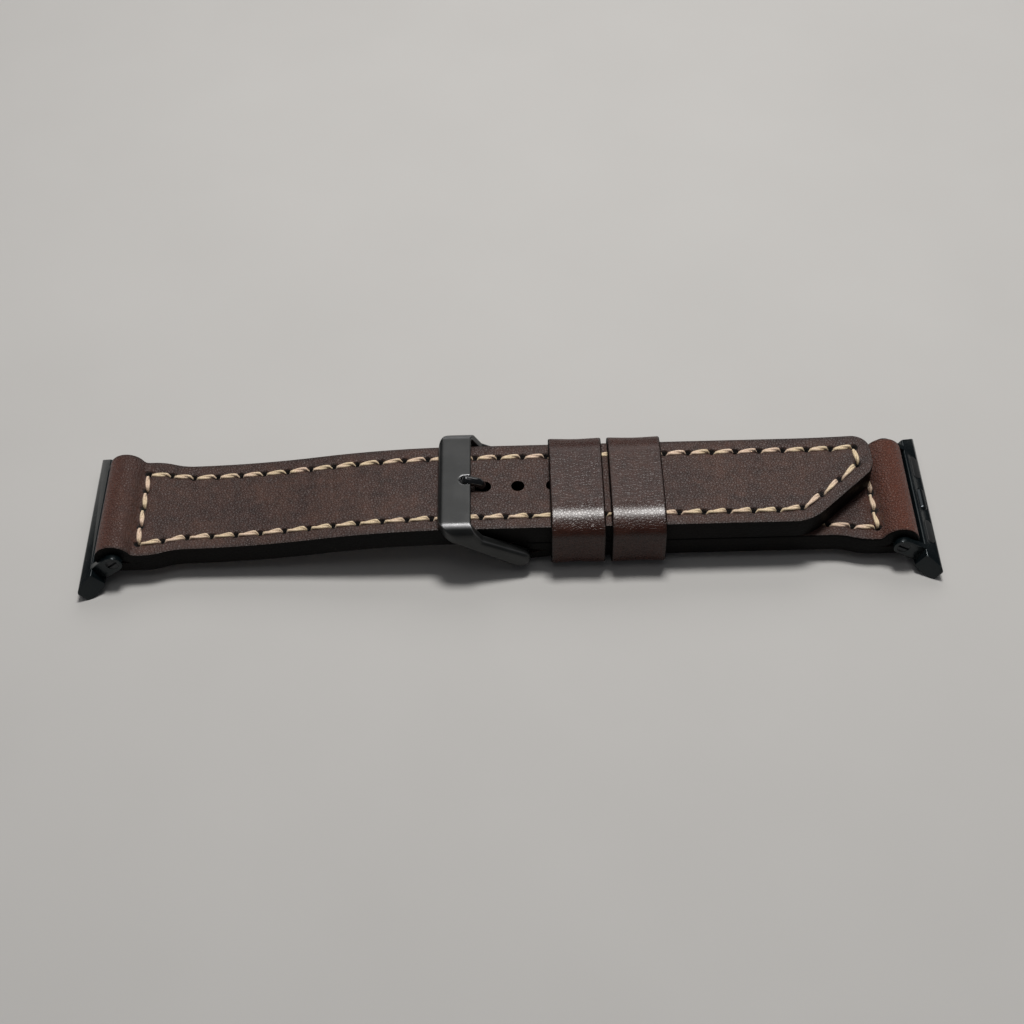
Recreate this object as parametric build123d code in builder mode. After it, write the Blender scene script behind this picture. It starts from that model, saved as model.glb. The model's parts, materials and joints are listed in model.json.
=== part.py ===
from build123d import *
import os
from math import asin, atan2, cos, degrees, hypot, sin, sqrt

# A two-piece leather strap for a smart watch, buckled and lying on a table, in millimetres.
# X runs along the strap, from the tail's adapter (minus) to the buckle piece's adapter (plus),
# Y runs across it, away from the front, and Z is up from the table.
# The origin is the middle of the footprint.

# Strap leather: a top strip and a lining, glued, stitched and painted along the edges
lug_width = 20.0
side_taper = 1.1
top_thickness = 2.0
lining_thickness = 1.8
lug_straight = 4.5
taper_length = 7.0
flap_length = 9.0
fold_leather = 1.95
fold_fillet = 1.0
overrun = 1.0

# Lengths along the closed strap
tail_pin_to_hole = 60.2
hole_to_bar = 5.8
buckle_piece_length = 62.0
hole_to_tip = 64.2

# The tail's adjusting holes, counted from the one in use
hole_pitch = 5.7
hole_radius = 1.1
first_hole = -1
last_hole = 4
used_hole_stretch = 0.5
lining_hole_stretch = 0.5

# The tail's tip: one square corner, one long slanted cut
tip_cut_length = 11.4
tip_flat = 7.3
tip_corner_radius = 3.0
tip_cut_radius = 2.0
tip_lift = 0.45
tip_curve_length = 14.0

# How the strap lies
tail_lift = 2.1
tail_rise_clear = 4.0
stack_gap = 0.1

# Keepers: leather bands round both pieces
keeper_width = 8.8
keeper_leather = 1.4
keeper_slack = 0.1
keeper_headroom = 0.2
keeper_side_gap = 0.3
keeper_inner_round = 0.3
keeper_outer_round = 3.2
keeper_from_bar = 9.5
keeper_gap = 1.0

# Stitching
seam_margin = 2.5
seam_from_pin = 3.8
seam_from_bar = 6.0
stitch_pitch = 4.0
stitch_hole = 0.7
thread_width = 0.85
groove_width = 1.1
groove_depth = 0.45
thread_sink = 0.02

# Cross tube and its screws, in an adapter's ears
cross_tube_radius = 1.0
pivot_clearance = 0.08
screw_radius = 0.6
screw_clearance = 0.02
screw_depth = 3.0
screw_head_radius = 1.05
screw_slot = 0.35
screw_slot_depth = 0.3

# Adapter body, measured from the cross tube's axis outwards
lug_seat = 3.3
lug_depth = 3.6
lug_height = 3.2
lug_edge = 1.25
lug_inner_round = 0.3
lug_shoulder = 1.3
lug_flare = 1.95
lug_end_round = 0.2
ear_gap = 0.2
ear_thickness = 1.0
ear_radius = 1.6

# Rubber pads and the sprung catch between them
pad_length = 4.8
pad_width = 1.5
pad_spacing = 6.95
pad_inset = 1.85
pad_pocket_depth = 0.9
pad_proud = 0.1
pad_clearance = 0.05
catch_pocket_depth = 2.6
catch_height = 2.2
catch_proud = 0.25
catch_bevel = 0.3
catch_travel = 0.6
catch_clearance = 0.06
catch_pin_radius = 0.25
catch_pin_offset = 1.45
catch_pin_depth = 1.35
catch_spring_radius = 0.38
catch_spring_wire = 0.09
catch_spring_pitch = 0.9
catch_spring_bore = 0.54
catch_spring_roof = 0.8

# Buckle frame
frame_inner_gap = 0.3
arm_thickness = 1.8
front_bar_width = 5.4
front_bar_thickness = 1.7
front_bar_gap = 0.2
front_bar_from_bar = 10.45
arm_drop = 3.0
arm_drop_length = 1.8
barrel_radius = 1.75
frame_corner_radius = 2.6
frame_bevel = 0.45
tang_seat_depth = 0.9
tang_seat_clearance = 0.06
tang_seat_reach = 0.1

# Buckle bar: a spring bar with two sprung tips
bar_radius = 0.9
bar_bore_radius = 0.66
bar_clearance = 0.1
bar_end_gap = 0.5
shoulder_clearance = 0.05
skived_leather = 1.2
skive_length = 4.5
plunger_radius = 0.6
plunger_length = 2.8
tip_radius = 0.45
tip_length = 0.8
tip_hole_clearance = 0.05
bar_spring_radius = 0.45
bar_spring_wire = 0.1
bar_spring_pitch = 3.2

# Tang: a rod bent up through the hole and over on to the front bar
tang_radius = 0.8
tang_bend = 1.3
tang_barrel_radius = 1.7
tang_barrel_width = 2.6
tang_bore_clearance = 0.05
tang_slot_gap = 0.25
tang_slot_length = 4.0
tang_tip_overlap = 0.9
tang_tip_taper = 25
tang_below = 1.0
tang_hole_lean = 0.35
tang_root = 0.9
tang_slope = 0.8

# Worked out: heights of the stack
strap_width = lug_width - 2 * side_taper
strap_thickness = top_thickness + lining_thickness
strap_bottom = keeper_leather + keeper_slack
strap_top = strap_bottom + strap_thickness
tail_bottom = strap_top + stack_gap
tail_top = tail_bottom + strap_thickness
keeper_inside_top = tail_top + keeper_headroom
keeper_top = keeper_inside_top + keeper_leather

# Worked out: the leather folds and the adapters that rest on the table
loop_radius = cross_tube_radius + pivot_clearance + fold_leather
bar_loop_radius = bar_radius + bar_clearance + skived_leather
left_pin_z = tail_lift + loop_radius
right_pin_z = strap_bottom + loop_radius
bar_z = strap_top - bar_loop_radius
lug_outer = lug_seat + lug_depth
edge_reach = lug_outer - lug_edge
edge_offset = lug_height / 2 - lug_edge


def lug_tilt(pin_z):
    """Angle below level at which an adapter hung at pin_z rests its round edge on the table."""
    reach = hypot(edge_reach, edge_offset)
    return asin((pin_z - lug_edge) / reach) - atan2(edge_offset, edge_reach)


def lug_overhang(tilt):
    """How far a tilted adapter reaches past its cross tube along the strap."""
    return edge_reach * cos(tilt) + edge_offset * sin(tilt) + lug_edge


left_tilt = lug_tilt(left_pin_z)
right_tilt = lug_tilt(right_pin_z)

# Worked out: places along the strap
pin_span = tail_pin_to_hole + hole_to_bar + buckle_piece_length
overall_length = pin_span + lug_overhang(left_tilt) + lug_overhang(right_tilt)
left_pin_x = -overall_length / 2 + lug_overhang(left_tilt)
right_pin_x = overall_length / 2 - lug_overhang(right_tilt)
bar_x = right_pin_x - buckle_piece_length
hole_x = bar_x - hole_to_bar
tip_x = hole_x + hole_to_tip
rise_start_x = left_pin_x + flap_length
rise_end_x = hole_x - tail_rise_clear
tip_curve_x = tip_x - tip_curve_length
front_bar_x = bar_x - front_bar_from_bar
fixed_keeper_x = bar_x + keeper_from_bar
free_keeper_x = fixed_keeper_x + keeper_width + keeper_gap
frame_inner = strap_width / 2 + frame_inner_gap
frame_outer = frame_inner + arm_thickness
front_bar_z = tail_top + front_bar_gap
frame_top = front_bar_z + front_bar_thickness
tang_top_z = frame_top + tang_radius - tang_seat_depth
part_height = tang_top_z + tang_radius


def s_curve(start, end):
    """Two equal arcs that leave start and reach end along the first axis."""
    start, end = Vector(*start), Vector(*end)
    middle = (start + end) / 2
    turn = 2 * atan2(end.Y - start.Y, end.X - start.X)
    TangentArc(start, middle, tangent=(1, 0))
    TangentArc(middle, end, tangent=(cos(turn), sin(turn)))


def tail_line(rise, x_from):
    """The tail's side view at a height rise above its underside, from x_from to the tip."""
    low = tail_lift + rise
    high = tail_bottom + rise
    if x_from < rise_start_x:
        Line((x_from, low), (rise_start_x, low))
    s_curve((rise_start_x, low), (rise_end_x, high))
    Line((rise_end_x, high), (tip_curve_x, high))
    TangentArc((tip_curve_x, high), (tip_x, high + tip_lift), tangent=(1, 0))


def tail_end_height(rise):
    return tail_bottom + tip_lift + rise


def bump(pin_x, pin_z, top_z, side):
    """The fold over a cross tube: from the strap's top face over the crown to its underside."""
    fillet_z = top_z + fold_fillet
    reach = loop_radius + fold_fillet
    foot = sqrt(reach**2 - (fillet_z - pin_z) ** 2)
    share = loop_radius / reach
    tangent_x = pin_x + side * foot * share
    tangent_z = pin_z + (fillet_z - pin_z) * share
    foot_point = (pin_x + side * foot, top_z)
    TangentArc(foot_point, (tangent_x, tangent_z), tangent=(-side, 0))
    outer = (pin_x - side * loop_radius, pin_z)
    ThreePointArc(
        (tangent_x, tangent_z),
        loop_point(pin_x, pin_z, (tangent_x, tangent_z), outer),
        outer,
    )
    TangentArc(outer, (pin_x, pin_z - loop_radius), tangent=(0, -1))
    return foot_point


def loop_point(pin_x, pin_z, first, second):
    """A point of the fold's circle half way between two others, on its upper side."""
    middle_x = (first[0] + second[0]) / 2 - pin_x
    middle_z = (first[1] + second[1]) / 2 - pin_z
    scale = loop_radius / hypot(middle_x, middle_z)
    return (pin_x + middle_x * scale, pin_z + middle_z * scale)


def inset_corner(before, corner, after, depth):
    """A corner moved inwards by depth from both its edges, for points that run clockwise."""
    corner = Vector(*corner)
    first = (corner - Vector(*before)).normalized()
    second = (Vector(*after) - corner).normalized()
    first_in = Vector(first.Y, -first.X)
    second_in = Vector(second.Y, -second.X)
    shift = (first_in + second_in) * (depth / (1 + first_in.dot(second_in)))
    return (corner.X + shift.X, corner.Y + shift.Y)


def tip_corners(inset):
    """The tip's three corners, from the back edge round to the front edge."""
    half = strap_width / 2
    back = (tip_curve_x, half)
    square = (tip_x, half)
    blunt = (tip_x, half - tip_flat)
    slant = (tip_x - tip_cut_length, -half)
    front = (tip_curve_x - tip_cut_length, -half)
    points = [back, square, blunt, slant, front]
    return [inset_corner(*points[i : i + 3], inset) for i in range(3)]


def side_edge(pin_x, direction, inset, y_sign, x_from, x_to):
    """A long edge seen from above: full width at the pin, an S taper, then straight to x_to."""
    lug_y = y_sign * (lug_width / 2 - inset)
    strap_y = y_sign * (strap_width / 2 - inset)
    taper_start = pin_x + direction * lug_straight
    taper_end = taper_start + direction * taper_length
    Line((x_from, lug_y), (taper_start, lug_y))
    low = (min(taper_start, taper_end), lug_y if direction > 0 else strap_y)
    high = (max(taper_start, taper_end), strap_y if direction > 0 else lug_y)
    s_curve(low, high)
    Line((taper_end, strap_y), (x_to, strap_y))


def tail_outline(inset, x_from):
    """The tail seen from above, moved in by inset and closed across x_from."""
    square, blunt, slant = tip_corners(inset)
    half = lug_width / 2 - inset
    side_edge(left_pin_x, 1, inset, 1, x_from, square[0])
    Line(square, blunt)
    Line(blunt, slant)
    side_edge(left_pin_x, 1, inset, -1, x_from, slant[0])
    Line((x_from, -half), (x_from, half))


def buckle_piece_outline(inset, x_from, x_to):
    """The buckle piece seen from above, moved in by inset and closed across x_from and x_to."""
    half = strap_width / 2 - inset
    lug_half = lug_width / 2 - inset
    side_edge(right_pin_x, -1, inset, 1, x_from, x_to)
    Line((x_to, half), (x_to, -half))
    side_edge(right_pin_x, -1, inset, -1, x_from, x_to)
    Line((x_from, -lug_half), (x_from, lug_half))


def row(pin_x, direction, y_sign, x_from, x_to):
    """A row of stitches along one long edge."""
    with BuildLine() as line:
        side_edge(pin_x, direction, seam_margin, y_sign, x_from, x_to)
    return line.wire()


def straight(start, end):
    with BuildLine() as line:
        Line(start, end)
    return line.wire()


def tail_seam():
    """The tail's closed line of stitches as separate sides."""
    x_from = left_pin_x + seam_from_pin
    square, blunt, slant = tip_corners(seam_margin)
    half = lug_width / 2 - seam_margin
    return [
        row(left_pin_x, 1, 1, x_from, square[0]),
        straight(square, blunt),
        straight(blunt, slant),
        row(left_pin_x, 1, -1, x_from, slant[0]),
        straight((x_from, -half), (x_from, half)),
    ]


def buckle_piece_seam():
    """The buckle piece's closed line of stitches as separate sides."""
    x_from = right_pin_x - seam_from_pin
    x_to = bar_x + seam_from_bar
    half = strap_width / 2 - seam_margin
    lug_half = lug_width / 2 - seam_margin
    return [
        row(right_pin_x, -1, 1, x_from, x_to),
        straight((x_to, half), (x_to, -half)),
        row(right_pin_x, -1, -1, x_from, x_to),
        straight((x_from, -lug_half), (x_from, lug_half)),
    ]


def tail_groove():
    """The ring of the tail's stitching groove, through the whole height."""
    wide = groove_width / 2
    column_x = left_pin_x + seam_from_pin
    with BuildPart() as ring:
        with BuildSketch():
            with BuildLine():
                tail_outline(seam_margin - wide, column_x - wide)
            make_face()
            with BuildLine():
                tail_outline(seam_margin + wide, column_x + wide)
            make_face(mode=Mode.SUBTRACT)
        extrude(amount=part_height)
    return ring.part


def buckle_piece_groove():
    """The ring of the buckle piece's stitching groove, through the whole height."""
    wide = groove_width / 2
    column_x = right_pin_x - seam_from_pin
    end_x = bar_x + seam_from_bar
    with BuildPart() as ring:
        with BuildSketch():
            with BuildLine():
                buckle_piece_outline(seam_margin - wide, column_x + wide, end_x - wide)
            make_face()
            with BuildLine():
                buckle_piece_outline(seam_margin + wide, column_x - wide, end_x + wide)
            make_face(mode=Mode.SUBTRACT)
        extrude(amount=part_height)
    return ring.part


def threads(seam):
    """Every stitch of a seam as a tapered bar, cut through the whole height."""
    with BuildPart() as bars:
        for side in seam:
            count = max(1, round(side.length / stitch_pitch))
            half = (side.length / count - stitch_hole) / 2
            spots = []
            for index in range(count):
                share = (index + 0.5) / count
                place = side @ share
                along = side % share
                spots.append(Location((place.X, place.Y), degrees(atan2(along.Y, along.X))))
            with BuildSketch():
                with Locations(*spots):
                    Rectangle(2 * half, thread_width)
            extrude(amount=part_height)
    return bars.part


# The tail lies level at its fold, climbs in a long S and runs level over the buckle piece.
tail_fold_x = left_pin_x - loop_radius
tail_fold_top = tail_lift + strap_thickness

with BuildPart() as tail_top_cut:
    with BuildSketch(Plane.XZ):
        with BuildLine():
            tail_line(strap_thickness - groove_depth, tail_fold_x)
            Line((tail_fold_x, tail_fold_top - groove_depth), (tail_fold_x, part_height))
            Line((tail_fold_x, part_height), (tip_x, part_height))
            Line((tip_x, part_height), (tip_x, tail_end_height(strap_thickness - groove_depth)))
        make_face()
    extrude(amount=lug_width, both=True)
    add(tail_groove(), mode=Mode.INTERSECT)

with BuildPart() as tail_holes:
    with BuildSketch():
        with Locations(*[(hole_x + n * hole_pitch, 0) for n in range(first_hole, last_hole + 1) if n]):
            Circle(hole_radius)
        with Locations((hole_x, 0)):
            SlotOverall(2 * hole_radius + used_hole_stretch, 2 * hole_radius)
    extrude(amount=part_height)

with BuildPart() as tail_top_leather:
    with BuildSketch(Plane.XZ):
        with BuildLine():
            tail_line(lining_thickness, rise_start_x)
            tail_line(strap_thickness, bump(left_pin_x, left_pin_z, tail_fold_top, 1)[0])
            Line((tip_x, tail_end_height(lining_thickness)), (tip_x, tail_end_height(strap_thickness)))
            Line((left_pin_x, tail_lift), (rise_start_x, tail_lift))
            Line((rise_start_x, tail_lift), (rise_start_x, tail_lift + lining_thickness))
        make_face()
        with Locations((left_pin_x, left_pin_z)):
            Circle(cross_tube_radius + pivot_clearance, mode=Mode.SUBTRACT)
    extrude(amount=lug_width, both=True)
    with BuildSketch() as tail_shape:
        with BuildLine():
            tail_outline(0, tail_fold_x)
        make_face()
        tip_points = tail_shape.vertices().sort_by(Axis.X)[-3:].sort_by(Axis.Y)
        fillet(tip_points[-1], tip_corner_radius)
        fillet(tip_points[:2], tip_cut_radius)
    extrude(amount=part_height, mode=Mode.INTERSECT)
    add(tail_holes.part, mode=Mode.SUBTRACT)
    add(tail_top_cut.part, mode=Mode.SUBTRACT)

with BuildPart() as tail_lining_leather:
    with BuildSketch(Plane.XZ):
        with BuildLine():
            tail_line(0, rise_start_x)
            tail_line(lining_thickness, rise_start_x)
            Line((rise_start_x, tail_lift), (rise_start_x, tail_lift + lining_thickness))
            Line((tip_x, tail_end_height(0)), (tip_x, tail_end_height(lining_thickness)))
        make_face()
    extrude(amount=lug_width, both=True)
    extrude(tail_shape.sketch, amount=part_height, mode=Mode.INTERSECT)
    add(tail_holes.part, mode=Mode.SUBTRACT)
    with BuildSketch():
        with Locations((hole_x + lining_hole_stretch / 2, 0)):
            SlotOverall(2 * hole_radius + used_hole_stretch + lining_hole_stretch, 2 * hole_radius)
    extrude(amount=part_height, mode=Mode.SUBTRACT)

with BuildPart() as tail_stitching:
    with BuildSketch(Plane.XZ):
        with BuildLine():
            low = strap_thickness - groove_depth
            high = strap_thickness - thread_sink
            tail_line(low, tail_fold_x)
            tail_line(high, tail_fold_x)
            Line((tail_fold_x, tail_lift + low), (tail_fold_x, tail_lift + high))
            Line((tip_x, tail_end_height(low)), (tip_x, tail_end_height(high)))
        make_face()
    extrude(amount=lug_width, both=True)
    add(threads(tail_seam()), mode=Mode.INTERSECT)

# The buckle piece lies flat. Its top strip goes round the cross tube and, skived, round the bar.
piece_left_flap_x = bar_x + flap_length
piece_right_flap_x = right_pin_x - flap_length
piece_middle_x = (bar_x + right_pin_x) / 2
piece_reach = buckle_piece_length + 2 * loop_radius

with BuildPart() as piece_groove:
    with BuildSketch(Plane.XY.offset(strap_top - groove_depth)):
        with Locations((piece_middle_x, 0)):
            Rectangle(piece_reach, lug_width)
    extrude(amount=loop_radius)
    add(buckle_piece_groove(), mode=Mode.INTERSECT)

with BuildPart() as buckle_piece_top_leather:
    with BuildSketch(Plane.XZ):
        with BuildLine():
            foot_point = bump(right_pin_x, right_pin_z, strap_top, -1)
            Line(foot_point, (bar_x, strap_top))
            bar_side = (bar_x - bar_loop_radius, bar_z)
            TangentArc((bar_x, strap_top), bar_side, tangent=(-1, 0))
            TangentArc(bar_side, (bar_x, bar_z - bar_loop_radius), tangent=(0, -1))
            Polyline(
                (bar_x, bar_z - bar_loop_radius),
                (bar_x + skive_length, strap_bottom),
                (piece_left_flap_x, strap_bottom),
                (piece_left_flap_x, strap_bottom + lining_thickness),
                (piece_right_flap_x, strap_bottom + lining_thickness),
                (piece_right_flap_x, strap_bottom),
                (right_pin_x, strap_bottom),
            )
        make_face()
        with Locations((right_pin_x, right_pin_z)):
            Circle(cross_tube_radius + pivot_clearance, mode=Mode.SUBTRACT)
        with Locations((bar_x, bar_z)):
            Circle(bar_radius + bar_clearance, mode=Mode.SUBTRACT)
    extrude(amount=lug_width, both=True)
    with BuildSketch() as piece_shape:
        with BuildLine():
            buckle_piece_outline(0, right_pin_x + loop_radius, bar_x - bar_loop_radius)
        make_face()
    extrude(amount=part_height, mode=Mode.INTERSECT)
    with BuildSketch():
        with Locations((bar_x - bar_loop_radius, 0)):
            slot_reach = bar_loop_radius + tang_slot_length
            Rectangle(2 * slot_reach, tang_barrel_width + 2 * tang_slot_gap)
    extrude(amount=part_height, mode=Mode.SUBTRACT)
    add(piece_groove.part, mode=Mode.SUBTRACT)

with BuildPart() as buckle_piece_lining_leather:
    with BuildSketch(Plane.XY.offset(strap_bottom)):
        with Locations(((piece_left_flap_x + piece_right_flap_x) / 2, 0)):
            Rectangle(piece_right_flap_x - piece_left_flap_x, lug_width)
    extrude(amount=lining_thickness)
    extrude(piece_shape.sketch, amount=part_height, mode=Mode.INTERSECT)

with BuildPart() as buckle_piece_stitching:
    with BuildSketch(Plane.XY.offset(strap_top - groove_depth)):
        with Locations((piece_middle_x, 0)):
            Rectangle(piece_reach, lug_width)
    extrude(amount=groove_depth - thread_sink)
    add(threads(buckle_piece_seam()), mode=Mode.INTERSECT)


def keeper_section(bottom_thickness):
    """A keeper seen along the strap: a rounded band round the whole stack."""
    inner_width = strap_width + 2 * keeper_side_gap
    inner_height = keeper_inside_top - bottom_thickness
    with Locations((0, keeper_top / 2)):
        RectangleRounded(inner_width + 2 * keeper_leather, keeper_top, keeper_outer_round)
    with Locations((0, bottom_thickness + inner_height / 2)):
        RectangleRounded(inner_width, inner_height, keeper_inner_round, mode=Mode.SUBTRACT)


# The fixed keeper's ends are lapped and bonded under the lining, so its underside is thicker.
with BuildPart() as fixed_keeper:
    with BuildSketch(Plane.YZ.offset(fixed_keeper_x)):
        keeper_section(strap_bottom)
    extrude(amount=keeper_width / 2, both=True)

with BuildPart() as free_keeper:
    with BuildSketch(Plane.YZ.offset(free_keeper_x)):
        keeper_section(keeper_leather)
    extrude(amount=keeper_width / 2, both=True)

# The tang's centre line: out of its barrel, under the tail, up through the hole, on to the bar
tang_start = (bar_x - tang_root, bar_z + tang_root / 2)
tang_low = (hole_x + tang_hole_lean, tail_bottom - tang_below)
tang_high = (hole_x - tang_hole_lean, tang_top_z - tang_slope)
tang_tip = (front_bar_x + front_bar_width / 2 - tang_tip_overlap, tang_top_z)

with BuildPart() as buckle_tang:
    with BuildLine(Plane.XZ) as tang_path:
        FilletPolyline(tang_start, tang_low, tang_high, tang_tip, radius=tang_bend)
    start_place = tang_path.line @ 0
    start_run = tang_path.line % 0
    with BuildSketch(Plane(origin=start_place, z_dir=start_run)):
        Circle(tang_radius)
    sweep()
    end_place = tang_path.line @ 1
    end_run = tang_path.line % 1
    with BuildSketch(Plane(origin=end_place, z_dir=end_run)):
        Circle(tang_radius)
    extrude(amount=tang_radius, taper=tang_tip_taper)
    with BuildSketch(Plane.XZ):
        with Locations((bar_x, bar_z)):
            Circle(tang_barrel_radius)
    extrude(amount=tang_barrel_width / 2, both=True)
    with BuildSketch(Plane.XZ):
        with Locations((bar_x, bar_z)):
            Circle(bar_radius + tang_bore_clearance)
    extrude(amount=tang_barrel_width, both=True, mode=Mode.SUBTRACT)

def is_arm_top(edge):
    """True for the upper edges of an arm's side, from the front bar down to its barrel."""
    middle = edge @ 0.5
    arm_z = bar_z + (bar_x - middle.X) * (front_bar_z - bar_z) / front_bar_from_bar
    return middle.X < bar_x and arm_z < middle.Z < frame_top - frame_bevel


# The frame is one casting: a broad front bar over the tail, on arms that drop and run to the bar.
with BuildPart() as buckle_frame:
    with BuildSketch(Plane.XZ):
        with BuildLine():
            bar_left = front_bar_x - front_bar_width / 2
            bar_right = front_bar_x + front_bar_width / 2
            shoulder = (bar_right + arm_drop_length, frame_top - arm_drop)
            CenterArc((bar_x, bar_z), barrel_radius, 0, 360)
            Line((bar_left, front_bar_z), shoulder)
        make_hull()
        with BuildLine():
            Polyline(
                (bar_left, front_bar_z), (bar_left, frame_top), (bar_right, frame_top), shoulder, close=True
            )
        make_face()
    extrude(amount=frame_outer, both=True)
    with BuildSketch() as frame_plan:
        with Locations((bar_left, 0)):
            Rectangle(2 * front_bar_from_bar, 2 * frame_outer, align=(Align.MIN, Align.CENTER))
        fillet(frame_plan.vertices().group_by(Axis.X)[0], frame_corner_radius)
    extrude(amount=part_height, mode=Mode.INTERSECT)
    rim = buckle_frame.faces().sort_by(Axis.Z)[-1].edges().sort_by(Axis.X)[:-1]
    sides = buckle_frame.edges().group_by(Axis.Y)
    slopes = [edge for edge in sides[0] + sides[-1] if is_arm_top(edge)]
    chamfer(rim + slopes, frame_bevel)
    with BuildSketch():
        with Locations((bar_right, 0)):
            Rectangle(front_bar_from_bar * 2, 2 * frame_inner, align=(Align.MIN, Align.CENTER))
    extrude(amount=part_height, mode=Mode.SUBTRACT)
    with BuildSketch():
        with Locations((bar_right, 0)):
            Rectangle(front_bar_width * 2, 2 * frame_inner, align=(Align.MAX, Align.CENTER))
    extrude(amount=front_bar_z, mode=Mode.SUBTRACT)
    with BuildSketch(Plane.XZ.offset(frame_inner + tip_length + tip_hole_clearance)):
        with Locations((bar_x, bar_z)):
            Circle(tip_radius + tip_hole_clearance)
    extrude(amount=-2 * (frame_inner + tip_length + tip_hole_clearance), mode=Mode.SUBTRACT)
    tang_run = (Vector(*tang_tip) - Vector(*tang_high)).normalized()
    seat_end = Vector(*tang_tip) + tang_run * tang_seat_reach
    seat_plane = Plane(origin=(seat_end.X, 0, seat_end.Y), z_dir=(-tang_run.X, 0, -tang_run.Y))
    with BuildSketch(seat_plane):
        Circle(tang_radius + tang_seat_clearance)
    extrude(amount=front_bar_width, mode=Mode.SUBTRACT)
    with Locations(seat_plane.origin):
        Sphere(tang_radius + tang_seat_clearance, mode=Mode.SUBTRACT)

# The spring bar: a tube, a spring and two sprung tips that reach into the arms
shoulder_outer = frame_inner - shoulder_clearance
tube_half = frame_inner - bar_end_gap
plunger_inner = tube_half - plunger_length
bar_axis = Plane(origin=(bar_x, 0, bar_z), x_dir=(1, 0, 0), z_dir=(0, -1, 0))

with BuildPart() as bar_tube:
    with BuildSketch(bar_axis):
        Circle(bar_radius)
        Circle(bar_bore_radius, mode=Mode.SUBTRACT)
    extrude(amount=tube_half, both=True)


def bar_tip(side):
    """One tip of the spring bar: its plunger and the thin end that enters the arm."""
    steps = [
        (plunger_inner, shoulder_outer, plunger_radius),
        (shoulder_outer, frame_inner + tip_length, tip_radius),
    ]
    with BuildPart() as tip:
        for inner, outer, radius in steps:
            with BuildSketch(bar_axis.offset(side * inner)):
                Circle(radius)
            extrude(amount=side * (outer - inner))
    return tip.part


def coil(plane, radius, wire, pitch, length):
    """A square wire wound along a plane's normal from its origin, length between its end faces."""
    with BuildPart() as spring:
        with BuildLine(Plane.XY.offset(wire)) as turns:
            Helix(pitch, length - 2 * wire, radius)
        with BuildSketch(Plane(origin=turns.line @ 0, x_dir=(1, 0, 0), z_dir=turns.line % 0)):
            Rectangle(2 * wire, 2 * wire)
        sweep(path=turns.line, is_frenet=True)
    return spring.part.moved(plane.location)


with BuildPart() as bar_front_tip:
    add(bar_tip(1))

with BuildPart() as bar_back_tip:
    add(bar_tip(-1))

with BuildPart() as bar_spring:
    spring_start = bar_axis.offset(-plunger_inner)
    add(coil(spring_start, bar_spring_radius, bar_spring_wire, bar_spring_pitch, 2 * plunger_inner))


def across_pair(plane, radius, start, end):
    """Two equal round bars, one at each end of an adapter, along the cross tube's axis."""
    with BuildPart() as pair:
        for side in (1, -1):
            with BuildSketch(plane.offset(side * start)):
                Circle(radius)
            extrude(amount=side * (end - start))
    return pair.part


def save(part, name):
    part.label = name
    export_step(part, f"parts/{name}.step")


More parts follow.
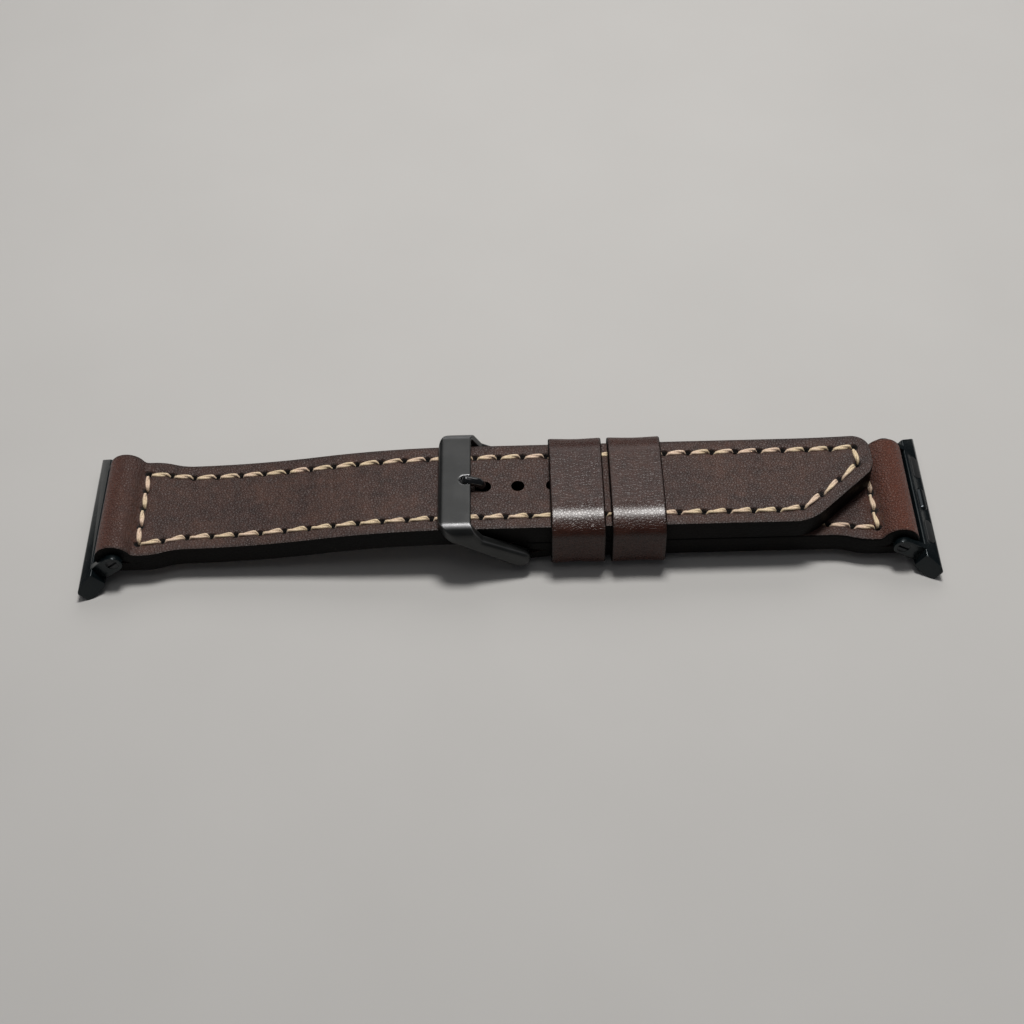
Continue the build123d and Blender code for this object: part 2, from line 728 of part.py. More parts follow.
def make_adapter(side, section):
    """An adapter and its small parts. section has the cross tube's axis as its normal,
    its first direction points outwards and its second to the face with the pads."""
    plan = Plane(origin=section.origin, x_dir=section.x_dir, z_dir=section.y_dir)
    ear_inner = lug_width / 2 + ear_gap
    ear_outer = ear_inner + ear_thickness
    inner_half = ear_outer + lug_shoulder
    outer_half = inner_half + lug_flare
    face = lug_height / 2
    pad_u = lug_outer - pad_inset
    pad_places = [(pad_u, -pad_spacing), (pad_u, pad_spacing)]
    pad_floor = face - pad_pocket_depth
    catch_floor = face - catch_pocket_depth
    catch_top = face + catch_proud
    pin_v = face - catch_pin_depth
    spring_roof = catch_top - catch_spring_roof

    with BuildPart() as lug_body:
        with BuildSketch(section) as bar_section:
            with Locations((lug_seat + lug_depth / 2, 0)):
                Rectangle(lug_depth, lug_height)
            ordered = bar_section.vertices().group_by(Axis.X)
            fillet(ordered[-1], lug_edge)
            inner_points = bar_section.vertices().group_by(Axis.X)[0]
            fillet(inner_points, lug_inner_round)
        extrude(amount=outer_half, both=True)
        with BuildSketch(plan) as lug_plan:
            with BuildLine():
                Polyline(
                    (lug_seat, -inner_half),
                    (lug_outer, -outer_half),
                    (lug_outer, outer_half),
                    (lug_seat, inner_half),
                    close=True,
                )
            make_face()
            fillet(lug_plan.vertices().group_by(Axis.X)[-1], lug_end_round)
        extrude(amount=lug_height, both=True, mode=Mode.INTERSECT)
        with BuildSketch(section.offset(ear_inner), section.offset(-ear_outer)):
            Circle(ear_radius)
            Rectangle(lug_seat + overrun, 2 * ear_radius, align=(Align.MIN, Align.CENTER))
        extrude(amount=ear_thickness)
        add(across_pair(section, screw_head_radius, ear_inner, ear_outer), mode=Mode.SUBTRACT)
        with BuildSketch(plan.offset(pad_floor)):
            with Locations(*pad_places):
                SlotOverall(pad_length, pad_width, rotation=90)
        extrude(amount=lug_height, mode=Mode.SUBTRACT)
        with BuildSketch(plan.offset(catch_floor)):
            with Locations((pad_u, 0)):
                SlotOverall(pad_length, pad_width, rotation=90)
        extrude(amount=lug_height, mode=Mode.SUBTRACT)
        catch_pin_plane = Plane(
            origin=plan.from_local_coords((0, catch_pin_offset, pin_v)),
            x_dir=plan.y_dir,
            z_dir=plan.x_dir,
        )
        with BuildSketch(catch_pin_plane):
            Circle(catch_pin_radius)
        extrude(amount=lug_outer - lug_edge / 2, mode=Mode.SUBTRACT)
    save(lug_body.part, f"{side}_lug_body")

    for name, place in (("front_pad", pad_places[0]), ("back_pad", pad_places[1])):
        with BuildPart() as pad:
            with BuildSketch(plan.offset(pad_floor)):
                with Locations(place):
                    SlotOverall(
                        pad_length - 2 * pad_clearance, pad_width - 2 * pad_clearance, rotation=90
                    )
            extrude(amount=pad_pocket_depth + pad_proud)
        save(pad.part, f"{side}_{name}")

    with BuildPart() as catch:
        with BuildSketch(plan.offset(catch_top - catch_height)):
            with Locations((pad_u, 0)):
                SlotOverall(
                    pad_length - 2 * catch_clearance, pad_width - 2 * catch_clearance, rotation=90
                )
        extrude(amount=catch_height)
        top_face = catch.faces().sort_by(Axis(plan.origin, plan.z_dir))[-1]
        chamfer(top_face.edges(), catch_bevel)
        with BuildSketch(plan.offset(catch_top - catch_height)):
            with Locations((pad_u, 0)):
                Circle(catch_spring_bore)
        extrude(amount=catch_height - catch_spring_roof, mode=Mode.SUBTRACT)
        with BuildSketch(catch_pin_plane):
            with Locations((0, catch_travel / 2)):
                slot_length = 2 * (catch_pin_radius + catch_clearance) + catch_travel
                SlotOverall(slot_length, 2 * (catch_pin_radius + catch_clearance), rotation=90)
        extrude(amount=lug_outer, mode=Mode.SUBTRACT)
    save(catch.part, f"{side}_catch")

    with BuildPart() as catch_pin:
        with BuildSketch(catch_pin_plane.offset(lug_seat)):
            Circle(catch_pin_radius)
        extrude(amount=lug_depth - lug_edge / 2)
    save(catch_pin.part, f"{side}_catch_pin")

    with BuildPart() as catch_spring:
        foot = Plane(
            origin=plan.from_local_coords((pad_u, 0, catch_floor)), x_dir=plan.x_dir, z_dir=plan.z_dir
        )
        spring_length = spring_roof - catch_floor
        add(coil(foot, catch_spring_radius, catch_spring_wire, catch_spring_pitch, spring_length))
    save(catch_spring.part, f"{side}_catch_spring")

    with BuildPart() as cross_tube:
        with BuildSketch(section):
            Circle(cross_tube_radius)
            Circle(screw_radius + screw_clearance, mode=Mode.SUBTRACT)
        extrude(amount=ear_inner, both=True)
    save(cross_tube.part, f"{side}_cross_tube")

    with BuildPart() as cross_screws:
        add(across_pair(section, screw_radius, ear_inner - screw_depth, ear_inner))
        add(across_pair(section, screw_head_radius - screw_clearance, ear_inner, ear_outer))
        for end in (1, -1):
            with BuildSketch(section.offset(end * (ear_outer - screw_slot_depth))):
                Rectangle(2 * screw_head_radius, screw_slot)
            extrude(amount=end * screw_slot_depth, mode=Mode.SUBTRACT)
    save(cross_screws.part, f"{side}_cross_screws")


os.makedirs("parts", exist_ok=True)

# The tail's adapter hangs with its pads towards the table, the buckle piece's with them up.
make_adapter(
    "left",
    Plane(
        origin=(left_pin_x, 0, left_pin_z),
        x_dir=(-cos(left_tilt), 0, -sin(left_tilt)),
        z_dir=(0, -1, 0),
    ),
)
make_adapter(
    "right",
    Plane(
        origin=(right_pin_x, 0, right_pin_z),
        x_dir=(cos(right_tilt), 0, -sin(right_tilt)),
        z_dir=(0, -1, 0),
    ),
)

save(tail_top_leather.part, "tail_top_leather")
save(tail_lining_leather.part, "tail_lining_leather")
save(tail_stitching.part, "tail_stitching")
save(buckle_piece_top_leather.part, "buckle_piece_top_leather")
save(buckle_piece_lining_leather.part, "buckle_piece_lining_leather")
save(buckle_piece_stitching.part, "buckle_piece_stitching")
save(fixed_keeper.part, "fixed_keeper")
save(free_keeper.part, "free_keeper")
save(buckle_frame.part, "buckle_frame")
save(buckle_tang.part, "buckle_tang")
save(bar_tube.part, "bar_tube")
save(bar_spring.part, "bar_spring")
save(bar_front_tip.part, "bar_front_tip")
save(bar_back_tip.part, "bar_back_tip")
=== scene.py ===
import json
import random
from math import acos, atan2, ceil, cos, hypot, pi, radians, sin, sqrt, tan

import bmesh
import bpy
from mathutils import Matrix, Vector
from mathutils.kdtree import KDTree


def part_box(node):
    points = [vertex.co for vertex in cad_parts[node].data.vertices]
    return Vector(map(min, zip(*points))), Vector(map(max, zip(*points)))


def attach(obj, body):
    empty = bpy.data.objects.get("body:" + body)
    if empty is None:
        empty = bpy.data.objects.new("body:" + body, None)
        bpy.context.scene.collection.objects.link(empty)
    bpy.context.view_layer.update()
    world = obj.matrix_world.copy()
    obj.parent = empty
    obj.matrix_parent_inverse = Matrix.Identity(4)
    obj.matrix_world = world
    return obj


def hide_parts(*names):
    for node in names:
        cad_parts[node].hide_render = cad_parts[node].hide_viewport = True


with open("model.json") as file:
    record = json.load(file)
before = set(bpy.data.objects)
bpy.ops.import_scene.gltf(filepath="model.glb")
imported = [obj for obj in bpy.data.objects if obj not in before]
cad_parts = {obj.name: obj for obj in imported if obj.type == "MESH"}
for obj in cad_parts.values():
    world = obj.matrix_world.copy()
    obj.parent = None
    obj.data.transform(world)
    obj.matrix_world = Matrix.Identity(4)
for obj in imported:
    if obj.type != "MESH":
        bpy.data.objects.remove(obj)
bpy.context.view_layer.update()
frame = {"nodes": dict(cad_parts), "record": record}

# A leather strap for a smart watch, buckled and lying on a table.
# Shapes are worked out in millimetres and scaled to metres when a piece is finished.
# X runs along the strap, Y across it away from the front, Z up from the table.
mm = 0.001
random.seed(7)


def centre_of(node):
    low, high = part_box(node)
    return (low + high) / (2 * mm)


def reach_of(node):
    low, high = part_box(node)
    return low / mm, high / mm


# Strap leather
lug_width = 20.0
side_taper = 1.1
top_thickness = 2.0
lining_thickness = 1.8
lug_straight = 4.5
taper_length = 7.0
flap_length = 9.0
fold_leather = 1.95
loop_foot_leather = lining_thickness + 0.12
fold_fillet = 1.0
edge_round = 0.32
strap_width = lug_width - 2 * side_taper
strap_thickness = top_thickness + lining_thickness
cross_tube_radius = 1.08
loop_radius = cross_tube_radius + fold_leather

# How the strap lies
tail_lift = 2.1
tip_lift = 0.45
tip_curve_length = 14.0
strap_bottom = 1.5
tail_gap = 0.1
hole_from_bar = 5.8
rise_before_hole = 4.0
strap_top = strap_bottom + strap_thickness
tail_bottom = strap_top + tail_gap
left_pin = centre_of("left_cross_tube")
right_pin = centre_of("right_cross_tube")
bar = centre_of("bar_tube")
tip_x = reach_of("tail_lining_leather")[1].x
hole_x = bar.x - hole_from_bar
rise_end_x = hole_x - rise_before_hole
rise_start_x = left_pin.x + flap_length

# Tip: one square corner, one long slanted cut
tip_cut_length = 11.4
tip_flat = 7.3
tip_corner_radius = 3.0
tip_cut_bend = 2.6
seam_bend = 2.4
tip_end_bend = 1.0
tip_end_turn = 1.1
bend_points = 8

# Holes, counted from the one in use
hole_pitch = 5.7
hole_radius = 1.1
hole_numbers = range(-1, 5)
hole_stretch = 0.5
lining_hole_extra = 0.5
first_hole_after = 5.0

# Stitching
seam_margin = 2.5
seam_from_pin = 3.8
seam_from_bar = 6.0
stitch_pitch = 4.0
back_row_points = 240
front_row_points = 220
piece_row_points = 120
seam_step = 0.1
ply_radius = 0.27
ply_gap = 0.17
ply_twist = 200
ply_start = 20
ply_rings = 11
ply_sides = 6
ply_pinch = 0.35
ply_flattening = 0.8
ply_thinning = 0.2
stitch_dive = 10
stitch_sink = 0.55
stitch_crown = 0.17
stitch_slant = 7
groove_half = 0.6
groove_sink = 0.22
awl_radius = 0.72
awl_sink = 1.1
awl_shade = 1.25
unsewn_fold = 0.6
stitch_short = 0.6

# Buckle piece round its bar
bar_loop_radius = 2.2
skived_leather = 1.2
skive_length = 4.5
skive_crease = 0.01
slot_half = 1.55
slot_length = 4.0

# Keepers
keeper_crown = 9.0
keeper_crown_turn = radians(28)
keeper_shoulder = 2.0
keeper_round = 3.2
keeper_thickness = 1.4
keeper_sag = 0.12
keeper_edge_round = 0.3
keeper_step = 0.3
keeper_rows = 22
keeper_rub = 0.22
keeper_back_fold = 0.8
# A fixed darker fold tone on the keeper's front bend and wall: partly the bent leather's tone, partly painted
# shade.
keeper_front_shade = 0.3
corner_strain = 0.32

# Tang: a rod bent up through the hole and over on to the front bar
tang_radius = 0.8
tang_bend = 1.3
tang_barrel_radius = 1.7
tang_barrel_half = 1.3
tang_bore = 0.95
tang_barrel_edge = 0.18
tang_overlap = 0.9
tang_depth = 0.9
tang_rise = 0.8
tang_root = (0.9, 0.45)
tang_foot = 1.0
tang_lean = 0.35
tang_step = 0.16
tang_nose = [(0.08, 0.78), (0.2, 0.73), (0.32, 0.64), (0.42, 0.5), (0.49, 0.33), (0.52, 0.14)]

# Buckle frame
front_bar_half = 2.7
front_bar_from_bar = 10.45
front_bar_x = bar.x - front_bar_from_bar
frame_voxel = 0.13
frame_corner_round = 3.5
frame_end_round = 2.1
frame_rim_round = 0.9
frame_smoothing = 9
# Where the buckle frame's colour is lightened: rubbed metal and a painted highlight, set where the rounded
# ends tilt towards the lamp.
frame_rub_highlight = 0.32
frame_rub_highlight_reach = 0.3
frame_rub_highlight_start = 0.1
frame_rub_highlight_end = 1.5
facing_up = 0.3
arm_rub_highlight = 0.3
merge_distance = 0.02

# Leather meshes
along_step = 0.32
across_step = 0.6
tip_zone = 4.2
tip_zone_gap = 0.1
tip_columns = 30
sharp_leather = radians(50)
edge_insets = [0, 0.42, 0.75, 1.1, 1.5, 1.75, 1.95, 2.12, 2.3, 2.48, 2.66, 2.84, 3.02, 3.22, 3.5, 3.9]


# Side lines: a start, a heading and runs of (length, turn), walked from one end to the other

def advance(x, z, heading, curve, length):
    if abs(curve) < 1e-9:
        return x + length * cos(heading), z + length * sin(heading), heading
    end = heading + curve * length
    return x + (sin(end) - sin(heading)) / curve, z - (cos(end) - cos(heading)) / curve, end


def side_line(start, heading, runs):
    stations, begun = [], 0.0
    x, z = start
    for length, turn in runs:
        stations.append((begun, x, z, heading, turn / length))
        x, z, heading = advance(x, z, heading, turn / length, length)
        begun += length
    return {"stations": stations, "length": begun}


def starts_of(line):
    """Distances at which the runs of a side line begin."""
    return [station[0] for station in line["stations"]]


def place_on(line, s):
    """Position and heading at a distance s along a side line."""
    found = line["stations"][0]
    for station in line["stations"]:
        if station[0] <= s:
            found = station
    begun, x, z, heading, curve = found
    return advance(x, z, heading, curve, s - begun)


def distance_at(line, x, low, high):
    """Distance along a side line at which it crosses x, between two distances."""
    rising = place_on(line, high)[0] > place_on(line, low)[0]
    for _ in range(40):
        middle = (low + high) / 2
        if (place_on(line, middle)[0] < x) == rising:
            low = middle
        else:
            high = middle
    return (low + high) / 2


def s_runs(length, height):
    """Two equal arcs that climb height over a level length."""
    turn = 2 * atan2(height, length)
    radius = hypot(length, height) / 2 / (2 * sin(turn / 2))
    return [(radius * abs(turn), turn), (radius * abs(turn), -turn)]


def crown(pin_z, top_z):
    """Angle of the fold's crown left above the strap, and how far its foot is from the pin."""
    rise = top_z + fold_fillet - pin_z
    reach = loop_radius + fold_fillet
    return acos(rise / reach), sqrt(reach**2 - rise**2)


def runs_to_tip():
    """The tail from its level flap up over the buckle to the end of its lifted tip."""
    tip_radius = (tip_curve_length**2 + tip_lift**2) / (2 * tip_lift)
    tip_turn = 2 * atan2(tip_lift, tip_curve_length)
    runs = s_runs(rise_end_x - rise_start_x, tail_bottom - tail_lift)
    return runs + [(tip_x - tip_curve_length - rise_end_x, 0), (tip_radius * tip_turn, tip_turn)]


def tail_top_line():
    turn, foot = crown(left_pin.z, tail_lift + strap_thickness)
    runs = [
        (flap_length, 0),
        (loop_radius * (pi + turn), -(pi + turn)),
        (fold_fillet * turn, turn),
        (flap_length - foot, 0),
    ]
    return side_line((rise_start_x, tail_lift), pi, runs + runs_to_tip())


def tail_lining_line():
    return side_line((rise_start_x, tail_lift + lining_thickness), 0, runs_to_tip())


def piece_top_line():
    turn, foot = crown(right_pin.z, strap_top)
    drop = strap_bottom - (bar.z - bar_loop_radius)
    slope = atan2(drop, skive_length)
    runs = [
        (flap_length - skive_length, 0),
        (skive_crease, slope),
        (hypot(drop, skive_length), 0),
        (bar_loop_radius * (pi + slope), -(pi + slope)),
        (right_pin.x - foot - bar.x, 0),
        (fold_fillet * turn, turn),
        (loop_radius * (pi + turn), -(pi + turn)),
        (flap_length, 0),
    ]
    return side_line((bar.x + flap_length, strap_bottom), pi, runs)


def piece_lining_line():
    length = right_pin.x - bar.x - 2 * flap_length
    return side_line((bar.x + flap_length, strap_bottom + lining_thickness), 0, [(length, 0)])


# Outlines seen from above

def arc_step(share):
    """Share of an S made of two equal arcs, close enough to them at this length."""
    return 2 * share**2 if share < 0.5 else 1 - 2 * (1 - share) ** 2


def half_width_from(pin_distance):
    """Half the strap's width, full at a cross tube and then narrowed to its plain width."""
    share = min(max((pin_distance - lug_straight) / taper_length, 0), 1)
    return lug_width / 2 - side_taper * arc_step(share)


def half_width(x):
    return half_width_from(x - left_pin.x)


def piece_half_width(x):
    return half_width_from(right_pin.x - x)


def corner_cut(away, radius):
    """How far a rounded corner cuts into the long edge, at this distance from its end."""
    return radius - sqrt(max(radius**2 - max(radius - away, 0) ** 2, 0))


def tail_edges(x):
    """Front and back edges of the tail at x, with its slanted tip."""
    half = half_width(x)
    back = half - corner_cut(tip_x - x, tip_corner_radius)
    front = -half
    slope = (strap_width - tip_flat) / tip_cut_length
    past = x - (tip_x - tip_cut_length)
    if past > tip_cut_bend:
        front += slope * past
    elif past > -tip_cut_bend:
        front += slope * (past + tip_cut_bend) ** 2 / (4 * tip_cut_bend)
    if x > tip_x - tip_end_bend:
        front += tip_end_turn * tip_end_bend * ((x - tip_x + tip_end_bend) / tip_end_bend) ** 2
    return front, back


def piece_edges(x):
    half = piece_half_width(x)
    return -half, half


def row_points(edge, x_from, x_to, count):
    xs = [x_from + (x_to - x_from) * index / count for index in range(count + 1)]
    return [(x, edge(x)) for x in xs]


def curve_through(corner, count):
    """A smooth bend from the first point to the last, drawn towards the middle one."""
    (x0, y0), (x1, y1), (x2, y2) = corner
    points = []
    for index in range(count):
        t = index / count
        near, middle, far = (1 - t) ** 2, 2 * t * (1 - t), t**2
        points.append((near * x0 + middle * x1 + far * x2, near * y0 + middle * y1 + far * y2))
    return points


# Seams: sides as lists of points, each cut into equal stitches

def seam_rows(half_at):
    """The back and front rows of a seam, as functions of x."""
    return (lambda x: half_at(x) - seam_margin), (lambda x: seam_margin - half_at(x))


def tail_sides():
    back, front = seam_rows(half_width)
    column = left_pin.x + seam_from_pin
    half = strap_width / 2
    slant = atan2(strap_width - tip_flat, tip_cut_length)
    square = (tip_x - seam_margin, half - seam_margin)
    blunt = (square[0], half - tip_flat + seam_margin * (1 - sin(slant)) / cos(slant))
    cut = (tip_x - tip_cut_length - seam_margin * (1 - cos(slant)) / sin(slant), seam_margin - half)
    up_the_cut = (cut[0] + seam_bend * cos(slant), cut[1] + seam_bend * sin(slant))
    bend = curve_through([up_the_cut, cut, (cut[0] - seam_bend, cut[1])], bend_points)
    middle = bend_points // 2
    return [
        row_points(back, column, square[0], back_row_points),
        [square, blunt],
        [blunt] + bend[: middle + 1],
        bend[middle:] + row_points(front, column, cut[0] - seam_bend, front_row_points)[::-1],
        [(column, front(column)), (column, back(column))],
    ]


def piece_sides():
    back, front = seam_rows(piece_half_width)
    column = right_pin.x - seam_from_pin
    end = bar.x + seam_from_bar
    return [
        row_points(back, column, end, piece_row_points),
        [(end, back(end)), (end, front(end))],
        row_points(front, column, end, piece_row_points)[::-1],
        [(column, front(column)), (column, back(column))],
    ]


def length_of(points):
    return sum(hypot(b[0] - a[0], b[1] - a[1]) for a, b in zip(points, points[1:]))


def point_at(points, distance):
    for (x0, y0), (x1, y1) in zip(points, points[1:]):
        step = hypot(x1 - x0, y1 - y0)
        if distance <= step:
            return x0 + (x1 - x0) * distance / step, y0 + (y1 - y0) * distance / step
        distance -= step
    return points[-1]


def cut_evenly(points, count):
    length = length_of(points)
    return [point_at(points, length * index / count) for index in range(count + 1)]


def stitch_spots(sides):
    """Ends of every stitch of a seam, seen from above."""
    spots = []
    for points in sides:
        ends = cut_evenly(points, max(1, round(length_of(points) / stitch_pitch)))
        spots += list(zip(ends, ends[1:]))
    return spots


def tree_of(points):
    tree = KDTree(len(points))
    for index, (x, y) in enumerate(points):
        tree.insert((x, y, 0), index)
    tree.balance()
    return tree


def seam_trees(sides):
    """Lookups for the distance to the line of stitches and to its nearest awl hole."""
    line, holes = [], []
    for points in sides:
        line += cut_evenly(points, ceil(length_of(points) / seam_step))
    for start, end in stitch_spots(sides):
        holes += [start, end]
    return tree_of(line), tree_of(holes)


def scaled(bm, factor):
    bmesh.ops.scale(bm, vec=(factor, factor, factor), verts=bm.verts)


def into_scene(name, data):
    made = bpy.data.objects.new(name, data)
    bpy.context.scene.collection.objects.link(made)
    return made


def finish_mesh(name, bm, scale=1):
    """A mesh object at the origin from a bmesh; scale is mm for a finished one in millimetres."""
    scaled(bm, scale)
    mesh = bpy.data.meshes.new(name)
    bm.to_mesh(mesh)
    bm.free()
    mesh.shade_smooth()
    return into_scene(name, mesh)


def apply_modifiers(piece):
    bpy.context.view_layer.update()
    evaluated = piece.evaluated_get(bpy.context.evaluated_depsgraph_get())
    mesh = bpy.data.meshes.new_from_object(evaluated)
    piece.modifiers.clear()
    piece.data = mesh


def cut_away(piece, cutter):
    """Takes the cutter's space out of the piece."""
    modifier = piece.modifiers.new("cut", "BOOLEAN")
    modifier.operation = "DIFFERENCE"
    modifier.solver = "EXACT"
    modifier.object = cutter
    apply_modifiers(piece)
    bpy.data.objects.remove(cutter)


def spread(length, tight_end):
    """Distances along a strip, closer together over the tail's tip where its end is tight."""
    count = ceil(length / along_step)
    steps = [length * index / count for index in range(count + 1)]
    if tight_end:
        tight = [length - tip_zone * (1 - index / tip_columns) for index in range(tip_columns + 1)]
        steps = [s for s in steps if s < length - tip_zone - tip_zone_gap] + tight
    return steps


def thicken(bm, up, down):
    """Draws a flat sheet up into a slab, then lowers all of it."""
    raised = bmesh.ops.extrude_face_region(bm, geom=bm.faces[:])
    moved = [part for part in raised["geom"] if isinstance(part, bmesh.types.BMVert)]
    bmesh.ops.translate(bm, verts=moved, vec=(0, 0, up))
    bmesh.ops.translate(bm, verts=bm.verts, vec=(0, 0, -down))
    bmesh.ops.recalc_face_normals(bm, faces=bm.faces)


def flat_slab(line, edges, thickness, tight_end):
    """A strip cut to its outline and laid flat: x is the distance along the side line."""
    steps = spread(line["length"], tight_end)
    last = len(edge_insets) - 1
    deepest = edge_insets[-1]
    rows = 2 * last + ceil((strap_width - 2 * deepest) / across_step)
    bm = bmesh.new()
    bmesh.ops.create_grid(bm, x_segments=len(steps) - 1, y_segments=rows, size=0.5)
    for vert in bm.verts:
        s = steps[round((vert.co.x + 0.5) * (len(steps) - 1))]
        row = round((vert.co.y + 0.5) * rows)
        front, back = edges(place_on(line, s)[0])
        room = back - front
        squeeze = min(1, room / strap_width)
        if row <= last:
            y = front + edge_insets[row] * squeeze
        elif row >= rows - last:
            y = back - edge_insets[rows - row] * squeeze
        else:
            share = (row - last) / (rows - 2 * last)
            y = front + deepest * squeeze + (room - 2 * deepest * squeeze) * share
        vert.co = (s, y, 0)
    thicken(bm, thickness, thickness)
    return bm


def round_edges(bm, edges, width, clamp):
    bmesh.ops.bevel(
        bm, geom=edges, offset=width, segments=3, profile=0.5, affect="EDGES", material=-1,
        clamp_overlap=clamp,
    )


def round_rim(bm, level):
    """Rounds the outline's edges on the face at this level."""
    rim = [
        edge
        for edge in bm.edges
        if all(abs(v.co.z - level) < 1e-4 for v in edge.verts)
        and any(abs(face.normal.z) < 0.5 for face in edge.link_faces)
    ]
    round_edges(bm, rim, edge_round, True)


def hole_cutter(line, low, thickness, extra):
    """Round holes through a flat slab, with the used one drawn out into a slot."""
    bm = bmesh.new()
    for number in hole_numbers:
        s = distance_at(line, hole_x + number * hole_pitch, low, line["length"])
        made = bmesh.ops.create_cone(
            bm, cap_ends=True, segments=40, radius1=hole_radius, radius2=hole_radius, depth=3 * thickness
        )
        stretch, shift = (hole_stretch + extra, extra / 2) if number == 0 else (0, 0)
        for vert in made["verts"]:
            side = 1 if vert.co.x > 0 else -1
            vert.co.x += s + shift + side * stretch / 2
    return finish_mesh("hole_cutter", bm)


def slot_cutter(line):
    """The tang's slot through the loop round the bar, in a flat slab."""
    low = distance_at(line, bar.x + slot_length, 0, flap_length)
    high = starts_of(line)[4] + slot_length
    bm = bmesh.new()
    bmesh.ops.create_grid(bm, x_segments=ceil((high - low) / along_step), y_segments=1, size=0.5)
    for vert in bm.verts:
        vert.co.x = low + (high - low) * (vert.co.x + 0.5)
        vert.co.y *= 2 * slot_half
    thicken(bm, 3 * top_thickness, 2 * top_thickness)
    return finish_mesh("slot_cutter", bm)


def marks(bm, *names):
    """Values that the mesh carries at each point."""
    return [bm.verts.layers.float.new(name) for name in names]


def bell(distance, width):
    share = min(distance / width, 1)
    return (1 - share * share) ** 2


def bend_slab(piece, line, edges, thickness, leather, trees, folds, worn_on_top):
    """Presses the seam into a flat slab's worn face and lays the slab on its side line. Leather and
    folds give (distance, value) points. Marks each point's nearness to an awl hole, edge and fold."""
    line_tree, hole_tree = trees
    bm = bmesh.new()
    bm.from_mesh(piece.data)
    hole_mark, edge_mark, fold_mark = marks(bm, "awl", "edge", "fold")
    for face in bm.faces:
        face.material_index = 1 if abs(face.normal.z) < 0.9 else 0
    for vert in bm.verts:
        s, y, w = vert.co
        x, z, heading = place_on(line, s)
        front, back = edges(x)
        fold = ramp(s, folds)
        seam = line_tree.find((x, y, 0))[2]
        awl = hole_tree.find((x, y, 0))[2]
        on_top = w > -thickness / 2
        sewn = on_top == worn_on_top and fold <= unsewn_fold
        if sewn:
            sink = groove_sink * bell(seam, groove_half) + awl_sink * bell(awl, awl_radius)
            w += -sink if on_top else sink
        vert[hole_mark] = bell(awl, awl_radius * awl_shade) if sewn else 0
        vert[edge_mark] = min(y - front, back - y)
        vert[fold_mark] = fold
        w *= ramp(s, leather) / thickness
        vert.co = (x - sin(heading) * w, y, z + cos(heading) * w)
    scaled(bm, mm)
    bm.to_mesh(piece.data)
    bm.free()
    piece.data.shade_smooth()
    piece.data.set_sharp_from_angle(angle=sharp_leather)


def leather_strip(name, node, line, edges, worn_on_top, cutter, leather, trees, folds):
    """A strip of leather: cut flat, its worn face's rim rounded, holed, its seam pressed in, and bent."""
    thickness = top_thickness if worn_on_top else lining_thickness
    bm = flat_slab(line, edges, thickness, tight_end=edges is tail_edges)
    round_rim(bm, 0 if worn_on_top else -thickness)
    piece = finish_mesh(name, bm)
    if cutter:
        cut_away(piece, cutter)
    bend_slab(piece, line, edges, thickness, leather, trees, folds, worn_on_top)
    slot, finish = ("top_leather", top_leather) if worn_on_top else ("lining_leather", lining_leather)
    hand_in(piece, "strap", slot, [node], finish, edge_paint)


def ramp(s, points):
    """Straight lines between (distance, value) points."""
    for (s0, v0), (s1, v1) in zip(points, points[1:]):
        if s <= s1:
            return v0 + (v1 - v0) * max(s - s0, 0) / (s1 - s0)
    return points[-1][1]


# Stitches

def first_ring(bm, sides):
    ring = bmesh.ops.create_circle(bm, cap_ends=True, segments=sides, radius=1)["verts"]
    return ring, list(dict.fromkeys(edge for vert in ring for edge in vert.link_edges))


def next_ring(bm, edges):
    """Draws a ring's edges out into another ring, still in the same place."""
    grown = bmesh.ops.extrude_edge_only(bm, edges=edges)["geom"]
    ring = [part for part in grown if isinstance(part, bmesh.types.BMVert)]
    drawn = [part for part in grown if isinstance(part, bmesh.types.BMEdge)]
    return ring, [edge for edge in drawn if all(vert in ring for vert in edge.verts)]


def tube(bm, points, radii, sides, square=False):
    """A round rod through points, drawn out ring by ring, closed at both ends.
    Square keeps its rings square to X, so that the rod can be stretched along X."""
    across = Vector((0, 1, 0))
    ring, edges = first_ring(bm, sides)
    centre, old_side, old_up, size = Vector((0, 0, 0)), Vector((1, 0, 0)), across, 1
    for index, (point, radius) in enumerate(zip(points, radii)):
        before = points[max(index - 1, 0)]
        after = points[min(index + 1, len(points) - 1)]
        along = Vector((1, 0, 0)) if square else (after - before).normalized()
        side = across.cross(along).normalized()
        up = along.cross(side)
        if index:
            ring, edges = next_ring(bm, edges)
        for vert in ring:
            away = vert.co - centre
            x, y = away.dot(old_side) / size, away.dot(old_up) / size
            vert.co = point + (side * x + up * y) * radius
        centre, old_side, old_up, size = point, side, up, radius
    bmesh.ops.contextual_create(bm, geom=edges)


def stitch_template():
    """One stitch from -0.5 to 0.5 along X: two plies twisted round each other, sunk at both ends."""
    bm = bmesh.new()
    for start in (0, 180):
        points, radii = [], []
        for index in range(ply_rings):
            share = index / (ply_rings - 1)
            angle = radians(start + ply_twist * (share - 0.5) + ply_start)
            dive = (2 * share - 1) ** stitch_dive
            height = stitch_crown - (stitch_sink + stitch_crown) * dive
            pinch = 1 - ply_pinch * dive
            lift = ply_gap * ply_flattening * sin(angle) * pinch
            points.append(Vector((share - 0.5, ply_gap * cos(angle) * pinch, height + lift)))
            radii.append(ply_radius * (1 - ply_thinning * dive))
        tube(bm, points, radii, ply_sides, square=True)
    return bm


